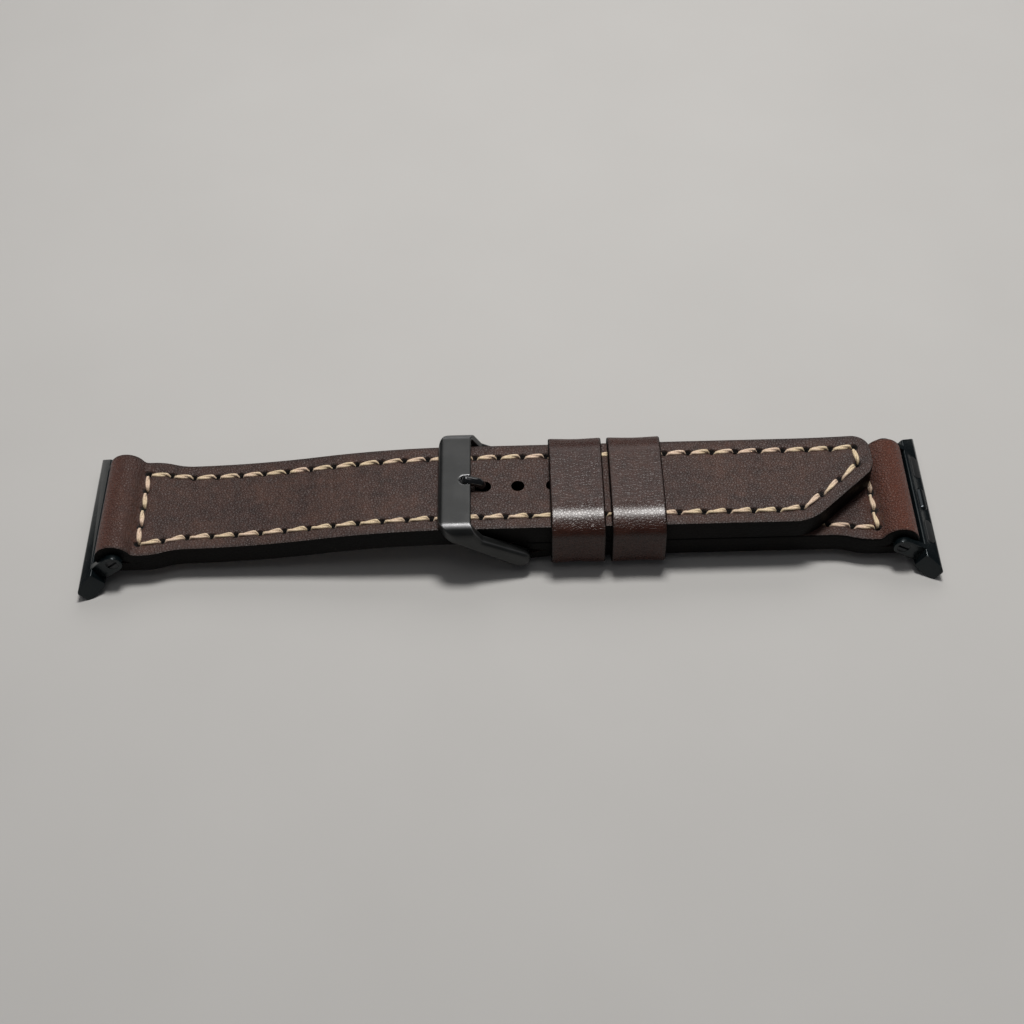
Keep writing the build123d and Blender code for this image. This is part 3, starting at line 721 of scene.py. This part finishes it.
def sew(name, spots, height_at, side):
    """All stitches of one face at these heights; side is 1 for a top face, -1 for an underside."""
    template = stitch_template()
    bmesh.ops.recalc_face_normals(template, faces=template.faces)
    template_mesh = bpy.data.meshes.new("stitch_template")
    template.to_mesh(template_mesh)
    template.free()
    bm = bmesh.new()
    for (x0, y0), (x1, y1) in spots:
        start = Vector((x0, y0, height_at(x0) - side * groove_sink))
        end = Vector((x1, y1, height_at(x1) - side * groove_sink))
        along = (end - start).normalized()
        up = Vector((0, 0, side))
        across = up.cross(along).normalized()
        up = along.cross(across)
        length = (end - start).length - stitch_short
        lean = Matrix.Rotation(radians(stitch_slant + random.uniform(-2.5, 2.5)), 3, up)
        count = len(bm.verts)
        bm.from_mesh(template_mesh)
        bm.verts.ensure_lookup_table()
        swell = random.uniform(0.93, 1.07)
        middle = (start + end) / 2
        for vert in bm.verts[count:]:
            x, y, z = vert.co
            spot = along * (x * length) + across * (y * swell) + up * (z * swell)
            vert.co = middle + lean @ spot
    bpy.data.meshes.remove(template_mesh)
    return finish_mesh(name, bm, mm)


# Keepers

def keeper(name):
    """A leather band closed round the stack, strained thinner where it turns a corner."""
    low, high = reach_of(name)
    middle_x, width = (low.x + high.x) / 2, high.x - low.x
    half = (high.y - low.y) / 2
    turn, steep = keeper_crown_turn, pi / 2 - keeper_crown_turn
    reach = keeper_crown * sin(turn) + keeper_shoulder * (1 - sin(turn))
    fall = keeper_crown * (1 - cos(turn)) + keeper_shoulder * cos(turn)
    bend = [
        (keeper_crown * turn, -turn),
        (keeper_shoulder * steep, -steep),
        (high.z - low.z - fall - keeper_round, 0),
        (keeper_round * pi / 2, -pi / 2),
    ]
    runs = [(2 * half - 2 * reach, 0), *bend, (2 * half - 2 * keeper_round, 0), *reversed(bend)]
    line = side_line((-half + reach, high.z), 0, runs)
    length = line["length"]
    bm = bmesh.new()
    bmesh.ops.create_grid(bm, x_segments=ceil(length / keeper_step), y_segments=keeper_rows, size=0.5)
    for vert in bm.verts:
        vert.co.x = length * (vert.co.x + 0.5)
        vert.co.y *= width
    thicken(bm, keeper_thickness, keeper_thickness)
    ends = [face for face in bm.faces if abs(face.normal.x) > 0.5]
    bmesh.ops.delete(bm, geom=ends, context="FACES")
    rim = [
        edge
        for edge in bm.edges
        if len(edge.link_faces) == 2
        and edge.calc_face_angle() > 1
        and abs(edge.verts[0].co.y - edge.verts[1].co.y) < 1e-5
    ]
    round_edges(bm, rim, keeper_edge_round, False)
    edge_mark, fold_mark, rub_highlight_mark, _ = marks(bm, "edge", "fold", "rubbed_highlight", "awl")
    for face in bm.faces:
        face.material_index = 1 if abs(face.normal.z) < 0.75 else 0
    for vert in bm.verts:
        s, across, w = vert.co
        y, z, heading = place_on(line, min(max(s, 0), length - 1e-6))
        steepness = abs(sin(heading))
        at_back_or_top = heading > -pi - 0.1
        vert[edge_mark] = width / 2 - abs(across)
        # Fold tone: on the back it grows with steepness; the front bend and wall get a fixed darker tone,
        # partly the bent leather's tone and partly painted shade.
        vert[fold_mark] = keeper_back_fold * steepness if at_back_or_top else keeper_front_shade
        vert[rub_highlight_mark] = bell(abs(steepness - keeper_rub), keeper_rub) if cos(heading) > 0 else 0
        dip = keeper_sag * bell(abs(across), width / 2) if w > -keeper_thickness / 2 else 0
        w *= 1 - corner_strain * sin(2 * heading) ** 2
        vert.co = (middle_x + across, y - sin(heading) * (w - dip), z + cos(heading) * (w - dip))
    bmesh.ops.remove_doubles(bm, verts=bm.verts, dist=1e-3)
    bmesh.ops.recalc_face_normals(bm, faces=bm.faces)
    piece = finish_mesh(name + "_band", bm, mm)
    piece.data.set_sharp_from_angle(angle=sharp_leather)
    return piece


# Materials

def group(name, inputs, outputs):
    """A node group of float sockets: inputs are (name, value) pairs, outputs are names."""
    made = bpy.data.node_groups.new(name, "ShaderNodeTree")
    for label, value in inputs:
        made.interface.new_socket(label, in_out="INPUT", socket_type="NodeSocketFloat").default_value = value
    for label in outputs:
        made.interface.new_socket(label, in_out="OUTPUT", socket_type="NodeSocketFloat")
    n = Nodes(made)
    return made, n, n.add("NodeGroupInput"), n.add("NodeGroupOutput")


class Nodes:
    """Short hand for placing and joining nodes."""

    def __init__(self, tree):
        self.tree = tree

    def add(self, kind, settings=None, **values):
        node = self.tree.nodes.new(kind)
        for key, value in (settings or {}).items():
            setattr(node, key, value)
        self.feed(node, **values)
        return node

    def feed(self, node, **values):
        """Gives inputs a link or a value: Base_Color is an input's name, n1 its number."""
        for key, value in values.items():
            numbered = key[0] == "n" and key[1:].isdigit()
            target = node.inputs[int(key[1:])] if numbered else node.inputs[key.replace("_", " ")]
            if isinstance(value, bpy.types.NodeSocket):
                self.tree.links.new(value, target)
            else:
                target.default_value = value

    def place(self):
        return self.add("ShaderNodeTexCoord").outputs["Object"]

    def mark(self, name):
        """A value that the mesh carries at each point."""
        return self.add("ShaderNodeAttribute", {"attribute_name": name}).outputs["Fac"]

    def noise(self, place, scale, detail, **more):
        return self.add("ShaderNodeTexNoise", Vector=place, Scale=scale, Detail=detail, **more).outputs["Fac"]

    def math(self, operation, a, b, clamp=False):
        settings = {"operation": operation, "use_clamp": clamp}
        return self.add("ShaderNodeMath", settings, n0=a, n1=b).outputs[0]

    def times(self, a, b, clamp=False):
        return self.math("MULTIPLY", a, b, clamp)

    def plus(self, a, b):
        return self.math("ADD", a, b)

    def mix(self, factor, a, b, blend="MIX"):
        settings = {"data_type": "RGBA", "blend_type": blend}
        return self.add("ShaderNodeMix", settings, n0=factor, n6=a, n7=b).outputs[2]

    def span(self, value, low, high, to_low=0.0, to_high=1.0, smooth=True):
        settings = {"interpolation_type": "SMOOTHSTEP" if smooth else "LINEAR"}
        limits = {"n1": low, "n2": high, "n3": to_low, "n4": to_high}
        return self.add("ShaderNodeMapRange", settings, n0=value, **limits).outputs[0]

    def use(self, made, **values):
        return self.add("ShaderNodeGroup", {"node_tree": made}, **values).outputs

    def bump(self, shader, height, distance):
        node = self.add("ShaderNodeBump", Height=height, Strength=1.0, Distance=distance)
        self.feed(shader, Normal=node.outputs[0])


def leather_grain_group():
    """Pebbled grain: a height, its creases, broad patches of wear and a fine mottle."""
    outputs = ("Height", "Crease", "Patches", "Mottle")
    made, n, entry, leave = group("leather_grain", [("Pebble", 2300.0)], outputs)
    place, pebble = n.place(), entry.outputs["Pebble"]
    drift = n.add("ShaderNodeTexNoise", Vector=place, Scale=900.0, Detail=3.0)
    shift = n.add("ShaderNodeVectorMath", {"operation": "SCALE"}, n0=drift.outputs["Color"], Scale=0.0005)
    moved = n.add("ShaderNodeVectorMath", {"operation": "ADD"}, n0=place, n1=shift.outputs[0]).outputs[0]
    cells = n.add(
        "ShaderNodeTexVoronoi", {"feature": "SMOOTH_F1"}, Vector=moved, Scale=pebble, Smoothness=0.35
    )
    cracks = n.add("ShaderNodeTexVoronoi", {"feature": "DISTANCE_TO_EDGE"}, Vector=moved, Scale=pebble)
    crease = n.span(cracks.outputs["Distance"], 0.0, 0.16, 1.0, 0.0)
    fine = n.noise(place, 9000.0, 4.0, Roughness=0.65)
    dome = n.times(cells.outputs["Distance"], -0.9)
    height = n.plus(n.plus(n.times(crease, -0.8), dome), n.times(fine, 0.5))
    broad = n.noise(place, 95.0, 5.0, Roughness=0.6, Distortion=0.6)
    spots = n.noise(moved, 640.0, 7.0, Roughness=0.7)
    n.feed(leave, Height=height, Crease=crease)
    n.feed(leave, Patches=n.span(broad, 0.34, 0.68), Mottle=n.span(spots, 0.3, 0.7))
    return made


def scuff_group():
    """Fine handling marks for metal: faint scratches and smudges."""
    made, n, entry, leave = group("scuffs", [("Scale", 400.0)], ("Scratches", "Smudge", "Height"))
    place = n.place()
    drawn = n.add("ShaderNodeMapping", Vector=place, Rotation=(0.3, 0.2, 0.8), Scale=(1.0, 14.0, 6.0))
    marks = n.noise(drawn.outputs[0], entry.outputs["Scale"], 3.0, Roughness=0.7)
    smudge = n.noise(place, 260.0, 4.0, Roughness=0.6)
    grit = n.noise(place, 14000.0, 3.0, Roughness=0.7)
    n.feed(leave, Scratches=n.span(marks, 0.62, 0.74), Smudge=n.span(smudge, 0.35, 0.7), Height=grit)
    return made


crease_glow = (1.0, 0.62, 0.45, 1)
rim_stain = (0.012, 0.008, 0.007, 1)
# Near black for the awl holes: painted shade in the holes.
awl_hole_shade = (0.003, 0.002, 0.002, 1)
leather_grain = leather_grain_group()
scuffs = scuff_group()


def material(name):
    made = bpy.data.materials.new(name)
    made.use_nodes = True
    made.node_tree.nodes.clear()
    n = Nodes(made.node_tree)
    shader = n.add("ShaderNodeBsdfPrincipled")
    n.add("ShaderNodeOutputMaterial", Surface=shader.outputs[0])
    return made, n, shader


def leather_material(name, flat, fold, patch, pebble, depth, rough, sheen, shine, polish=0.0):
    """Waxed pull-up leather: greyer on the flat, redder and more open in the folds."""
    made, n, shader = material(name)
    grain = n.use(leather_grain, Pebble=pebble)
    folded, awl, edge = n.mark("fold"), n.mark("awl"), n.mark("edge")
    patches, crease = grain["Patches"], grain["Crease"]
    mottle = n.span(grain["Mottle"], 0.0, 1.0, 0.66, 1.3, smooth=False)
    base = n.mix(1.0, n.mix(patches, flat, patch), mottle, "MULTIPLY")
    base = n.mix(n.times(folded, 0.9, clamp=True), base, fold)
    lightened = n.mix(0.35, base, crease_glow, "MULTIPLY")
    base = n.mix(n.times(crease, n.span(folded, 0.1, 0.7, 0.25, 0.75)), base, lightened)
    near_rim = n.span(edge, 0.1, 0.75, 1.0, 0.0)
    base = n.mix(n.times(near_rim, 0.45), base, rim_stain)
    # Painted shade: near black in the awl holes where the thread goes in.
    hole = n.span(awl, 0.12, 0.5)
    base = n.mix(hole, base, awl_hole_shade)
    dull = n.plus(n.plus(n.times(patches, 0.05), rough), n.times(crease, 0.1))
    n.feed(shader, Base_Color=base, Roughness=n.plus(dull, n.times(hole, 0.3)))
    n.feed(shader, Sheen_Weight=sheen, Sheen_Roughness=0.45, Sheen_Tint=(0.8, 0.72, 0.75, 1))
    n.feed(shader, Specular_IOR_Level=shine)
    if polish:
        n.feed(shader, Coat_Weight=n.times(n.mark("rubbed_highlight"), polish), Coat_Roughness=0.27)
    n.bump(shader, n.times(grain["Height"], n.span(folded, 0.0, 0.6, 0.6, 1.5)), depth)
    return made


def edge_paint_material():
    """Black edge paint, burnished."""
    made, n, shader = material("edge_paint")
    grain = n.use(leather_grain, Pebble=1500.0)
    base = n.mix(grain["Patches"], (0.002, 0.002, 0.002, 1), (0.006, 0.005, 0.0045, 1))
    rough = n.plus(n.times(grain["Patches"], 0.15), 0.42)
    n.feed(shader, Base_Color=base, Roughness=rough, Specular_IOR_Level=0.07)
    n.bump(shader, grain["Height"], 0.00002)
    return made


def thread_material():
    """Waxed linen: fibres along the ply, warm cream, darker between the fibres."""
    made, n, shader = material("waxed_thread")
    place = n.place()
    fibres = n.noise(place, 5200.0, 4.0, Roughness=0.7)
    tone = n.noise(place, 170.0, 2.0)
    base = n.mix(n.span(tone, 0.4, 0.62), (0.86, 0.70, 0.47, 1), (0.88, 0.67, 0.52, 1))
    base = n.mix(n.span(fibres, 0.42, 0.6, 0.5, 0.0), base, (0.36, 0.22, 0.11, 1))
    n.feed(shader, Base_Color=base, Roughness=0.55, Sheen_Weight=0.15)
    n.bump(shader, fibres, 0.00004)
    return made


def metal_material(name, colour, worn, rough, metallic, grit, coat=0.0, rub_highlight_to=None):
    """Dark plated metal: satin, with faint scuffs and smudges, lighter where it is rubbed and where a
    highlight is painted in.
    """
    made, n, shader = material(name)
    marks = n.use(scuffs, Scale=420.0)
    base = n.mix(n.times(marks["Scratches"], 0.5), colour, worn)
    base = n.mix(n.times(marks["Smudge"], 0.3), base, worn)
    level = n.plus(n.times(marks["Smudge"], 0.08), rough)
    # A lighter colour under the mesh's mark: partly rubbed metal, partly a painted highlight.
    if rub_highlight_to:
        rubbed_highlight = n.mark("rubbed_highlight")
        base = n.mix(rubbed_highlight, base, rub_highlight_to)
        level = n.plus(n.times(rubbed_highlight, 0.06), level)
    n.feed(shader, Base_Color=base, Metallic=metallic, Roughness=level)
    if coat:
        n.feed(shader, Coat_Weight=coat, Coat_Roughness=0.06)
    n.bump(shader, marks["Height"], grit)
    return made


def rubber_material():
    made, n, shader = material("pad_rubber_soft")
    marks = n.use(scuffs, Scale=700.0)
    base = n.mix(marks["Smudge"], (0.004, 0.0045, 0.005, 1), (0.010, 0.011, 0.012, 1))
    n.feed(shader, Base_Color=base, Roughness=0.62)
    n.bump(shader, marks["Height"], 0.00001)
    return made


top_leather = leather_material(
    "top_leather_waxed", (0.036, 0.0155, 0.0115, 1), (0.120, 0.029, 0.010, 1), (0.060, 0.026, 0.017, 1),
    pebble=2300.0, depth=0.0001, rough=0.45, sheen=0.1, shine=0.45,
)
# The keeper's fold colour is darker than its flat: on its front it is partly painted shade.
keeper_leather = leather_material(
    "keeper_leather_waxed", (0.033, 0.0122, 0.0088, 1), (0.032, 0.0075, 0.004, 1), (0.044, 0.0172, 0.0112, 1),
    pebble=2000.0, depth=0.000029, rough=0.22, sheen=0.03, shine=0.28, polish=0.42,
)
lining_leather = leather_material(
    "lining_leather_smooth", (0.022, 0.014, 0.012, 1), (0.05, 0.022, 0.014, 1), (0.035, 0.02, 0.016, 1),
    pebble=3200.0, depth=0.00003, rough=0.55, sheen=0.15, shine=0.4,
)
edge_paint = edge_paint_material()
waxed_thread = thread_material()
# The buckle's lighter rubbed colour stands partly for worn plating and partly for a painted highlight on the
# front bar's rounded ends.
frame_metal = metal_material(
    "buckle_satin", (0.020, 0.021, 0.021, 1), (0.045, 0.045, 0.045, 1),
    rough=0.28, metallic=0.55, grit=0.000008, rub_highlight_to=(0.17, 0.17, 0.175, 1),
)
tang_metal = metal_material(
    "tang_polished", (0.010, 0.011, 0.013, 1), (0.02, 0.02, 0.022, 1),
    rough=0.12, metallic=0.6, grit=0.000001, coat=1.0,
)
adapter_metal = metal_material(
    "adapter_satin", (0.005, 0.009, 0.011, 1), (0.012, 0.018, 0.02, 1),
    rough=0.2, metallic=0.5, grit=0.000004,
)
dark_steel = metal_material(
    "dark_steel", (0.05, 0.052, 0.055, 1), (0.16, 0.16, 0.16, 1), rough=0.3, metallic=1.0, grit=0.000002
)
black_screw = metal_material(
    "black_screw", (0.02, 0.022, 0.025, 1), (0.08, 0.08, 0.08, 1), rough=0.28, metallic=0.85, grit=0.000003
)
catch_metal = metal_material(
    "catch_polished", (0.012, 0.016, 0.019, 1), (0.03, 0.034, 0.038, 1),
    rough=0.16, metallic=0.7, grit=0.000002,
)
soft_rubber = rubber_material()


def dress(piece, *finishes):
    """Gives a piece its finishes and leaves its faces' choice among them as it is."""
    slots = piece.data.materials
    for index, finish in enumerate(finishes):
        if index < len(slots):
            slots[index] = finish
        else:
            slots.append(finish)


def hand_in(piece, body, slot, nodes, *finishes):
    """Gives a finished piece its materials, its body and the nodes that it stands for."""
    dress(piece, *finishes)
    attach(piece, body)
    if nodes:
        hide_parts(*nodes)


# Tail

level_leather = [(0, lining_thickness)]
no_fold = [(0, 0)]


def make_tail():
    trees = seam_trees(tail_sides())
    top = tail_top_line()
    _, loop_start, _, loop_end, *_ = starts_of(top)
    folds = [
        (loop_start - 1, 0.2), (loop_start + 3, 0.75), (loop_end - 6.6, 0.75), (loop_end - 4.6, 0.3),
        (loop_end - 2, 0.12), (loop_end + 2.5, 0.03), (loop_end + 3, 0),
    ]
    leather = [
        (0, lining_thickness), (loop_start, loop_foot_leather), (loop_start + 2, fold_leather),
        (loop_end - 1, top_thickness), (top["length"], top_thickness),
    ]
    holes = hole_cutter(top, loop_end + first_hole_after, top_thickness, 0)
    leather_strip("tail_top_strip", "tail_top_leather", top, tail_edges, True, holes, leather, trees, folds)

    under = tail_lining_line()
    holes = hole_cutter(under, first_hole_after, lining_thickness, lining_hole_extra)
    leather_strip(
        "tail_lining_strip", "tail_lining_leather", under, tail_edges, False, holes, level_leather, trees,
        no_fold,
    )

    def top_height(x):
        s = distance_at(top, x, loop_end - 0.5, top["length"])
        return place_on(top, s)[1]

    def under_height(x):
        if x < rise_start_x:
            return tail_lift
        s = distance_at(under, x, 0, under["length"])
        return place_on(under, s)[1] - lining_thickness

    sew_both("tail", stitch_spots(tail_sides()), top_height, under_height, "tail_stitching")


def sew_both(name, spots, top_height, under_height, node):
    """The stitches of both faces; those on top stand for the CAD's stitching."""
    for face, height_at, side, nodes in (("top", top_height, 1, [node]), ("under", under_height, -1, [])):
        piece = sew(f"{name}_{face}_stitches", spots, height_at, side)
        hand_in(piece, "strap", "thread", nodes, waxed_thread)


def make_buckle_piece():
    trees = seam_trees(piece_sides())
    top = piece_top_line()
    _, skive_start, _, bar_start, bar_end, crown_start, _, loop_end = starts_of(top)
    folds = [
        (bar_start - 1, 0), (bar_start + 1, 0.8), (bar_end - 1, 0.8), (bar_end + 3, 0),
        (crown_start - 2.5, 0.05), (crown_start + 1, 0.5), (crown_start + 5.5, 1),
        (loop_end - 3, 1), (loop_end + 1, 0.2),
    ]
    leather = [
        (0, lining_thickness), (skive_start, lining_thickness), (bar_start, skived_leather),
        (bar_end, skived_leather), (bar_end + skive_length, top_thickness),
        (crown_start + 1, top_thickness), (loop_end - 2, fold_leather),
        (loop_end, loop_foot_leather), (loop_end + flap_length, lining_thickness),
    ]
    leather_strip(
        "buckle_piece_top_strip", "buckle_piece_top_leather", top, piece_edges, True, slot_cutter(top),
        leather, trees, folds,
    )
    leather_strip(
        "buckle_piece_lining_strip", "buckle_piece_lining_leather", piece_lining_line(), piece_edges,
        False, None, level_leather, trees, no_fold,
    )
    spots = stitch_spots(piece_sides())
    sew_both("buckle_piece", spots, lambda x: strap_top, lambda x: strap_bottom, "buckle_piece_stitching")


def make_keepers():
    for name, body in (("fixed_keeper", "strap"), ("free_keeper", "free_keeper")):
        hand_in(keeper(name), body, "keeper_leather", [name], keeper_leather, edge_paint)


# Metal pieces carried over from the solids, merged and softened along their edges

def copy_of(node):
    """A bmesh of a carried node's mesh, its doubled points merged."""
    bm = bmesh.new()
    bm.from_mesh(frame["nodes"][node].data)
    bmesh.ops.remove_doubles(bm, verts=bm.verts, dist=merge_distance * mm)
    return bm


def softened(node, edge, segments):
    bm = copy_of(node)
    bmesh.ops.dissolve_limit(bm, angle_limit=radians(1), verts=bm.verts, edges=bm.edges)
    piece = finish_mesh(node + "_part", bm)
    modifier = piece.modifiers.new("soft edges", "BEVEL")
    modifier.width = edge * mm
    modifier.segments = segments
    modifier.limit_method = "ANGLE"
    modifier.angle_limit = radians(32)
    modifier.harden_normals = True
    return piece


def rounded_path(corners, radius, step):
    """Points along a line through corners in the XZ plane, with every inner corner rounded."""
    points = [corners[0]]
    for before, corner, after in zip(corners, corners[1:], corners[2:]):
        into = (corner - before).normalized()
        out = (after - corner).normalized()
        turn = into.angle(out)
        setback = radius * tan(turn / 2)
        count = max(2, ceil(radius * turn / step))
        inward = (out - into * into.dot(out)).normalized()
        centre = corner - into * setback + inward * radius
        for index in range(count + 1):
            angle = turn * index / count
            points.append(centre - inward * radius * cos(angle) + into * radius * sin(angle))
    points.append(corners[-1])
    return points


def barrel(bm, centre, profile):
    """A ring about the buckle's bar, turned from a closed profile of (radius, y) points."""
    verts = [bm.verts.new((centre.x + radius, y, centre.z)) for radius, y in profile]
    edges = [bm.edges.new((a, b)) for a, b in zip(verts, verts[1:] + verts[:1])]
    middle = (centre.x, 0, centre.z)
    bmesh.ops.spin(
        bm, geom=verts + edges, cent=middle, axis=(0, 1, 0), angle=2 * pi, steps=48, use_merge=True
    )


def make_tang():
    frame_top = reach_of("buckle_frame")[1].z
    tip_z = frame_top + tang_radius - tang_depth
    tip = Vector((front_bar_x + front_bar_half - tang_overlap, 0, tip_z))
    root_back, root_up = tang_root
    over_hole = Vector((hole_x - tang_lean, 0, tip_z - tang_rise))
    corners = [
        Vector((bar.x - root_back, 0, bar.z + root_up)),
        Vector((hole_x + tang_lean, 0, tail_bottom - tang_foot)),
        over_hole,
        tip,
    ]
    points = rounded_path(corners, tang_bend, tang_step)
    radii = [tang_radius] * len(points)
    ahead = (tip - over_hole).normalized()
    for reach, radius in tang_nose:
        points.append(tip + ahead * reach)
        radii.append(radius)
    bm = bmesh.new()
    tube(bm, points, radii, 28)
    outer, half, edge = tang_barrel_radius, tang_barrel_half, tang_barrel_edge
    barrel(bm, bar, [
        (tang_bore, -half), (outer - edge, -half), (outer, edge - half),
        (outer, half - edge), (outer - edge, half), (tang_bore, half),
    ])
    bmesh.ops.recalc_face_normals(bm, faces=bm.faces)
    piece = finish_mesh("buckle_tang_rod", bm, mm)
    piece.data.set_sharp_from_angle(angle=radians(40))
    hand_in(piece, "buckle_tang", "tang_metal", ["buckle_tang"], tang_metal)


def rounded_off(value, limit, other, other_limit, radius):
    """Moves a point of a square corner on to an arc of this radius."""
    deep = value - limit + radius
    wide = other - other_limit + radius
    if deep <= 0 or wide <= 0 or radius <= 0:
        return value, other
    scale = radius / max(hypot(deep, wide), radius)
    return limit - radius + deep * scale, other_limit - radius + wide * scale


def make_frame():
    """The buckle frame as a casting: an even mesh of its solid, its rims and ends rounded.
    Marks the front bar's ends and the arms' edges where they face up and tilt towards the lamp: rubbed metal
    plus a painted highlight."""
    low, high = reach_of("buckle_frame")
    piece = finish_mesh("buckle_frame_casting", copy_of("buckle_frame"))
    modifier = piece.modifiers.new("even mesh", "REMESH")
    modifier.mode = "VOXEL"
    modifier.voxel_size = frame_voxel * mm
    apply_modifiers(piece)
    bm = bmesh.new()
    bm.from_mesh(piece.data)
    scaled(bm, 1 / mm)
    for vert in bm.verts:
        x, y, z = vert.co
        side = 1 if y > 0 else -1
        away, y = rounded_off(-x, -low.x, abs(y), high.y, frame_corner_round)
        y, z = rounded_off(y, high.y, z, high.z, frame_end_round)
        away, z = rounded_off(away, -low.x, z, high.z, frame_rim_round)
        vert.co = (-away, side * y, z)
    for _ in range(frame_smoothing):
        bmesh.ops.smooth_vert(
            bm, verts=bm.verts, factor=0.5, use_axis_x=True, use_axis_y=True, use_axis_z=True
        )
    [rub_highlight_mark] = marks(bm, "rubbed_highlight")
    bm.normal_update()
    bar_side = front_bar_x + front_bar_half
    # Painted highlight with rubbing: strongest on the front bar's rounded ends, weaker along the arms.
    for vert in bm.verts:
        past = vert.co.x - bar_side
        worn = ramp(past, [(frame_rub_highlight_start, 1), (frame_rub_highlight_end, arm_rub_highlight)])
        tilted = bell(abs(abs(vert.normal.y) - frame_rub_highlight), frame_rub_highlight_reach)
        vert[rub_highlight_mark] = worn * tilted if vert.normal.z > facing_up else 0
    scaled(bm, mm)
    bm.to_mesh(piece.data)
    bm.free()
    piece.data.shade_smooth()
    hand_in(piece, "buckle_frame", "buckle_metal", ["buckle_frame"], frame_metal)


def make_metal():
    bodies = frame["record"]["behaviour"]["bodies"]
    body_of = {node: body for body, nodes in bodies.items() for node in nodes}
    carried = ["bar_tube", "bar_spring", "bar_front_tip", "bar_back_tip"]
    for side in ("left", "right"):
        for part, edge, segments, slot, finish in (
            ("lug_body", 0.18, 3, "adapter_metal", adapter_metal),
            ("front_pad", 0.1, 2, "pad_rubber", soft_rubber),
            ("back_pad", 0.1, 2, "pad_rubber", soft_rubber),
            ("catch", 0.06, 2, "catch_metal", catch_metal),
            ("cross_screws", 0.05, 2, "screw_steel", black_screw),
        ):
            node = f"{side}_{part}"
            hand_in(softened(node, edge, segments), body_of[node], slot, [node], finish)
        carried += [f"{side}_{part}" for part in ("cross_tube", "catch_pin", "catch_spring")]
    for node in carried:
        dress(frame["nodes"][node], dark_steel)


make_tail()
make_buckle_piece()
make_keepers()
make_frame()
make_tang()
make_metal()


# Camera at the photograph's angle, fitted to the strap's stitches and ends
picture_focal = 1649.5
picture_size = 1024
camera_pitch = 50.38
camera_yaw = 0.54
camera_roll = -1.85
camera_distance = 273.6
camera_target = Vector((0.62, -1.22, 4.0))


def make_camera():
    pitch, yaw, roll = radians(camera_pitch), radians(camera_yaw), radians(camera_roll)
    ahead = Vector((sin(-yaw) * cos(pitch), cos(yaw) * cos(pitch), -sin(pitch)))
    right = ahead.cross(Vector((0, 0, 1))).normalized()
    up = right.cross(ahead)
    turned_right = right * cos(roll) + up * sin(roll)
    turned_up = up * cos(roll) - right * sin(roll)
    data = bpy.data.cameras.new("camera")
    data.sensor_width = 36
    data.lens = picture_focal / picture_size * data.sensor_width
    data.clip_start = 0.01
    camera = into_scene("camera", data)
    rotation = Matrix((turned_right, turned_up, -ahead)).transposed().to_4x4()
    camera.matrix_world = Matrix.Translation((camera_target - ahead * camera_distance) * mm) @ rotation
    bpy.context.scene.camera = camera


def make_floor():
    bm = bmesh.new()
    bmesh.ops.create_grid(bm, x_segments=1, y_segments=1, size=3)
    floor = finish_mesh("floor", bm)
    made, n, shader = material("pale_floor")
    tone = n.noise(n.place(), 30.0, 3.0)
    base = n.mix(tone, (0.51, 0.50, 0.486, 1), (0.55, 0.54, 0.526, 1))
    n.feed(shader, Base_Color=base, Roughness=0.8, Specular_IOR_Level=0.2)
    dress(floor, made)


def area_light(name, place, size, watts, colour):
    """A soft box that looks at the origin."""
    data = bpy.data.lights.new(name, "AREA")
    data.shape = "RECTANGLE"
    data.size, data.size_y = size
    data.energy = watts
    data.color = colour
    light = into_scene(name, data)
    light.location = place
    light.rotation_euler = Vector(place).to_track_quat("Z", "Y").to_euler()


def make_lights():
    area_light("back_window", (0.05, 0.42, 0.40), (0.50, 0.30), 0.8, (1.0, 0.98, 0.96))
    area_light("overhead", (0.0, 0.0, 0.50), (0.40, 0.40), 0.2, (1.0, 0.99, 0.98))
    area_light("lamp", (0.035, 0.125, 0.50), (0.12, 0.09), 1.9, (1.0, 0.985, 0.96))
    area_light("front_fill", (-0.25, -0.5, 0.3), (0.4, 0.4), 0.03, (0.95, 0.97, 1.0))
    world = bpy.data.worlds.new("studio")
    bpy.context.scene.world = world
    world.use_nodes = True
    world.node_tree.nodes.clear()
    n = Nodes(world.node_tree)
    dim = n.add("ShaderNodeBackground", Color=(0.9, 0.93, 1.0, 1), Strength=0.07).outputs[0]
    pale = n.add("ShaderNodeBackground", Color=(0.86, 0.86, 0.85, 1), Strength=1.0).outputs[0]
    seen = n.add("ShaderNodeLightPath").outputs["Is Camera Ray"]
    both = n.add("ShaderNodeMixShader", n0=seen, n1=dim, n2=pale)
    n.add("ShaderNodeOutputWorld", Surface=both.outputs[0])


make_camera()
make_floor()
make_lights()
bpy.context.scene.view_settings.view_transform = "Standard"
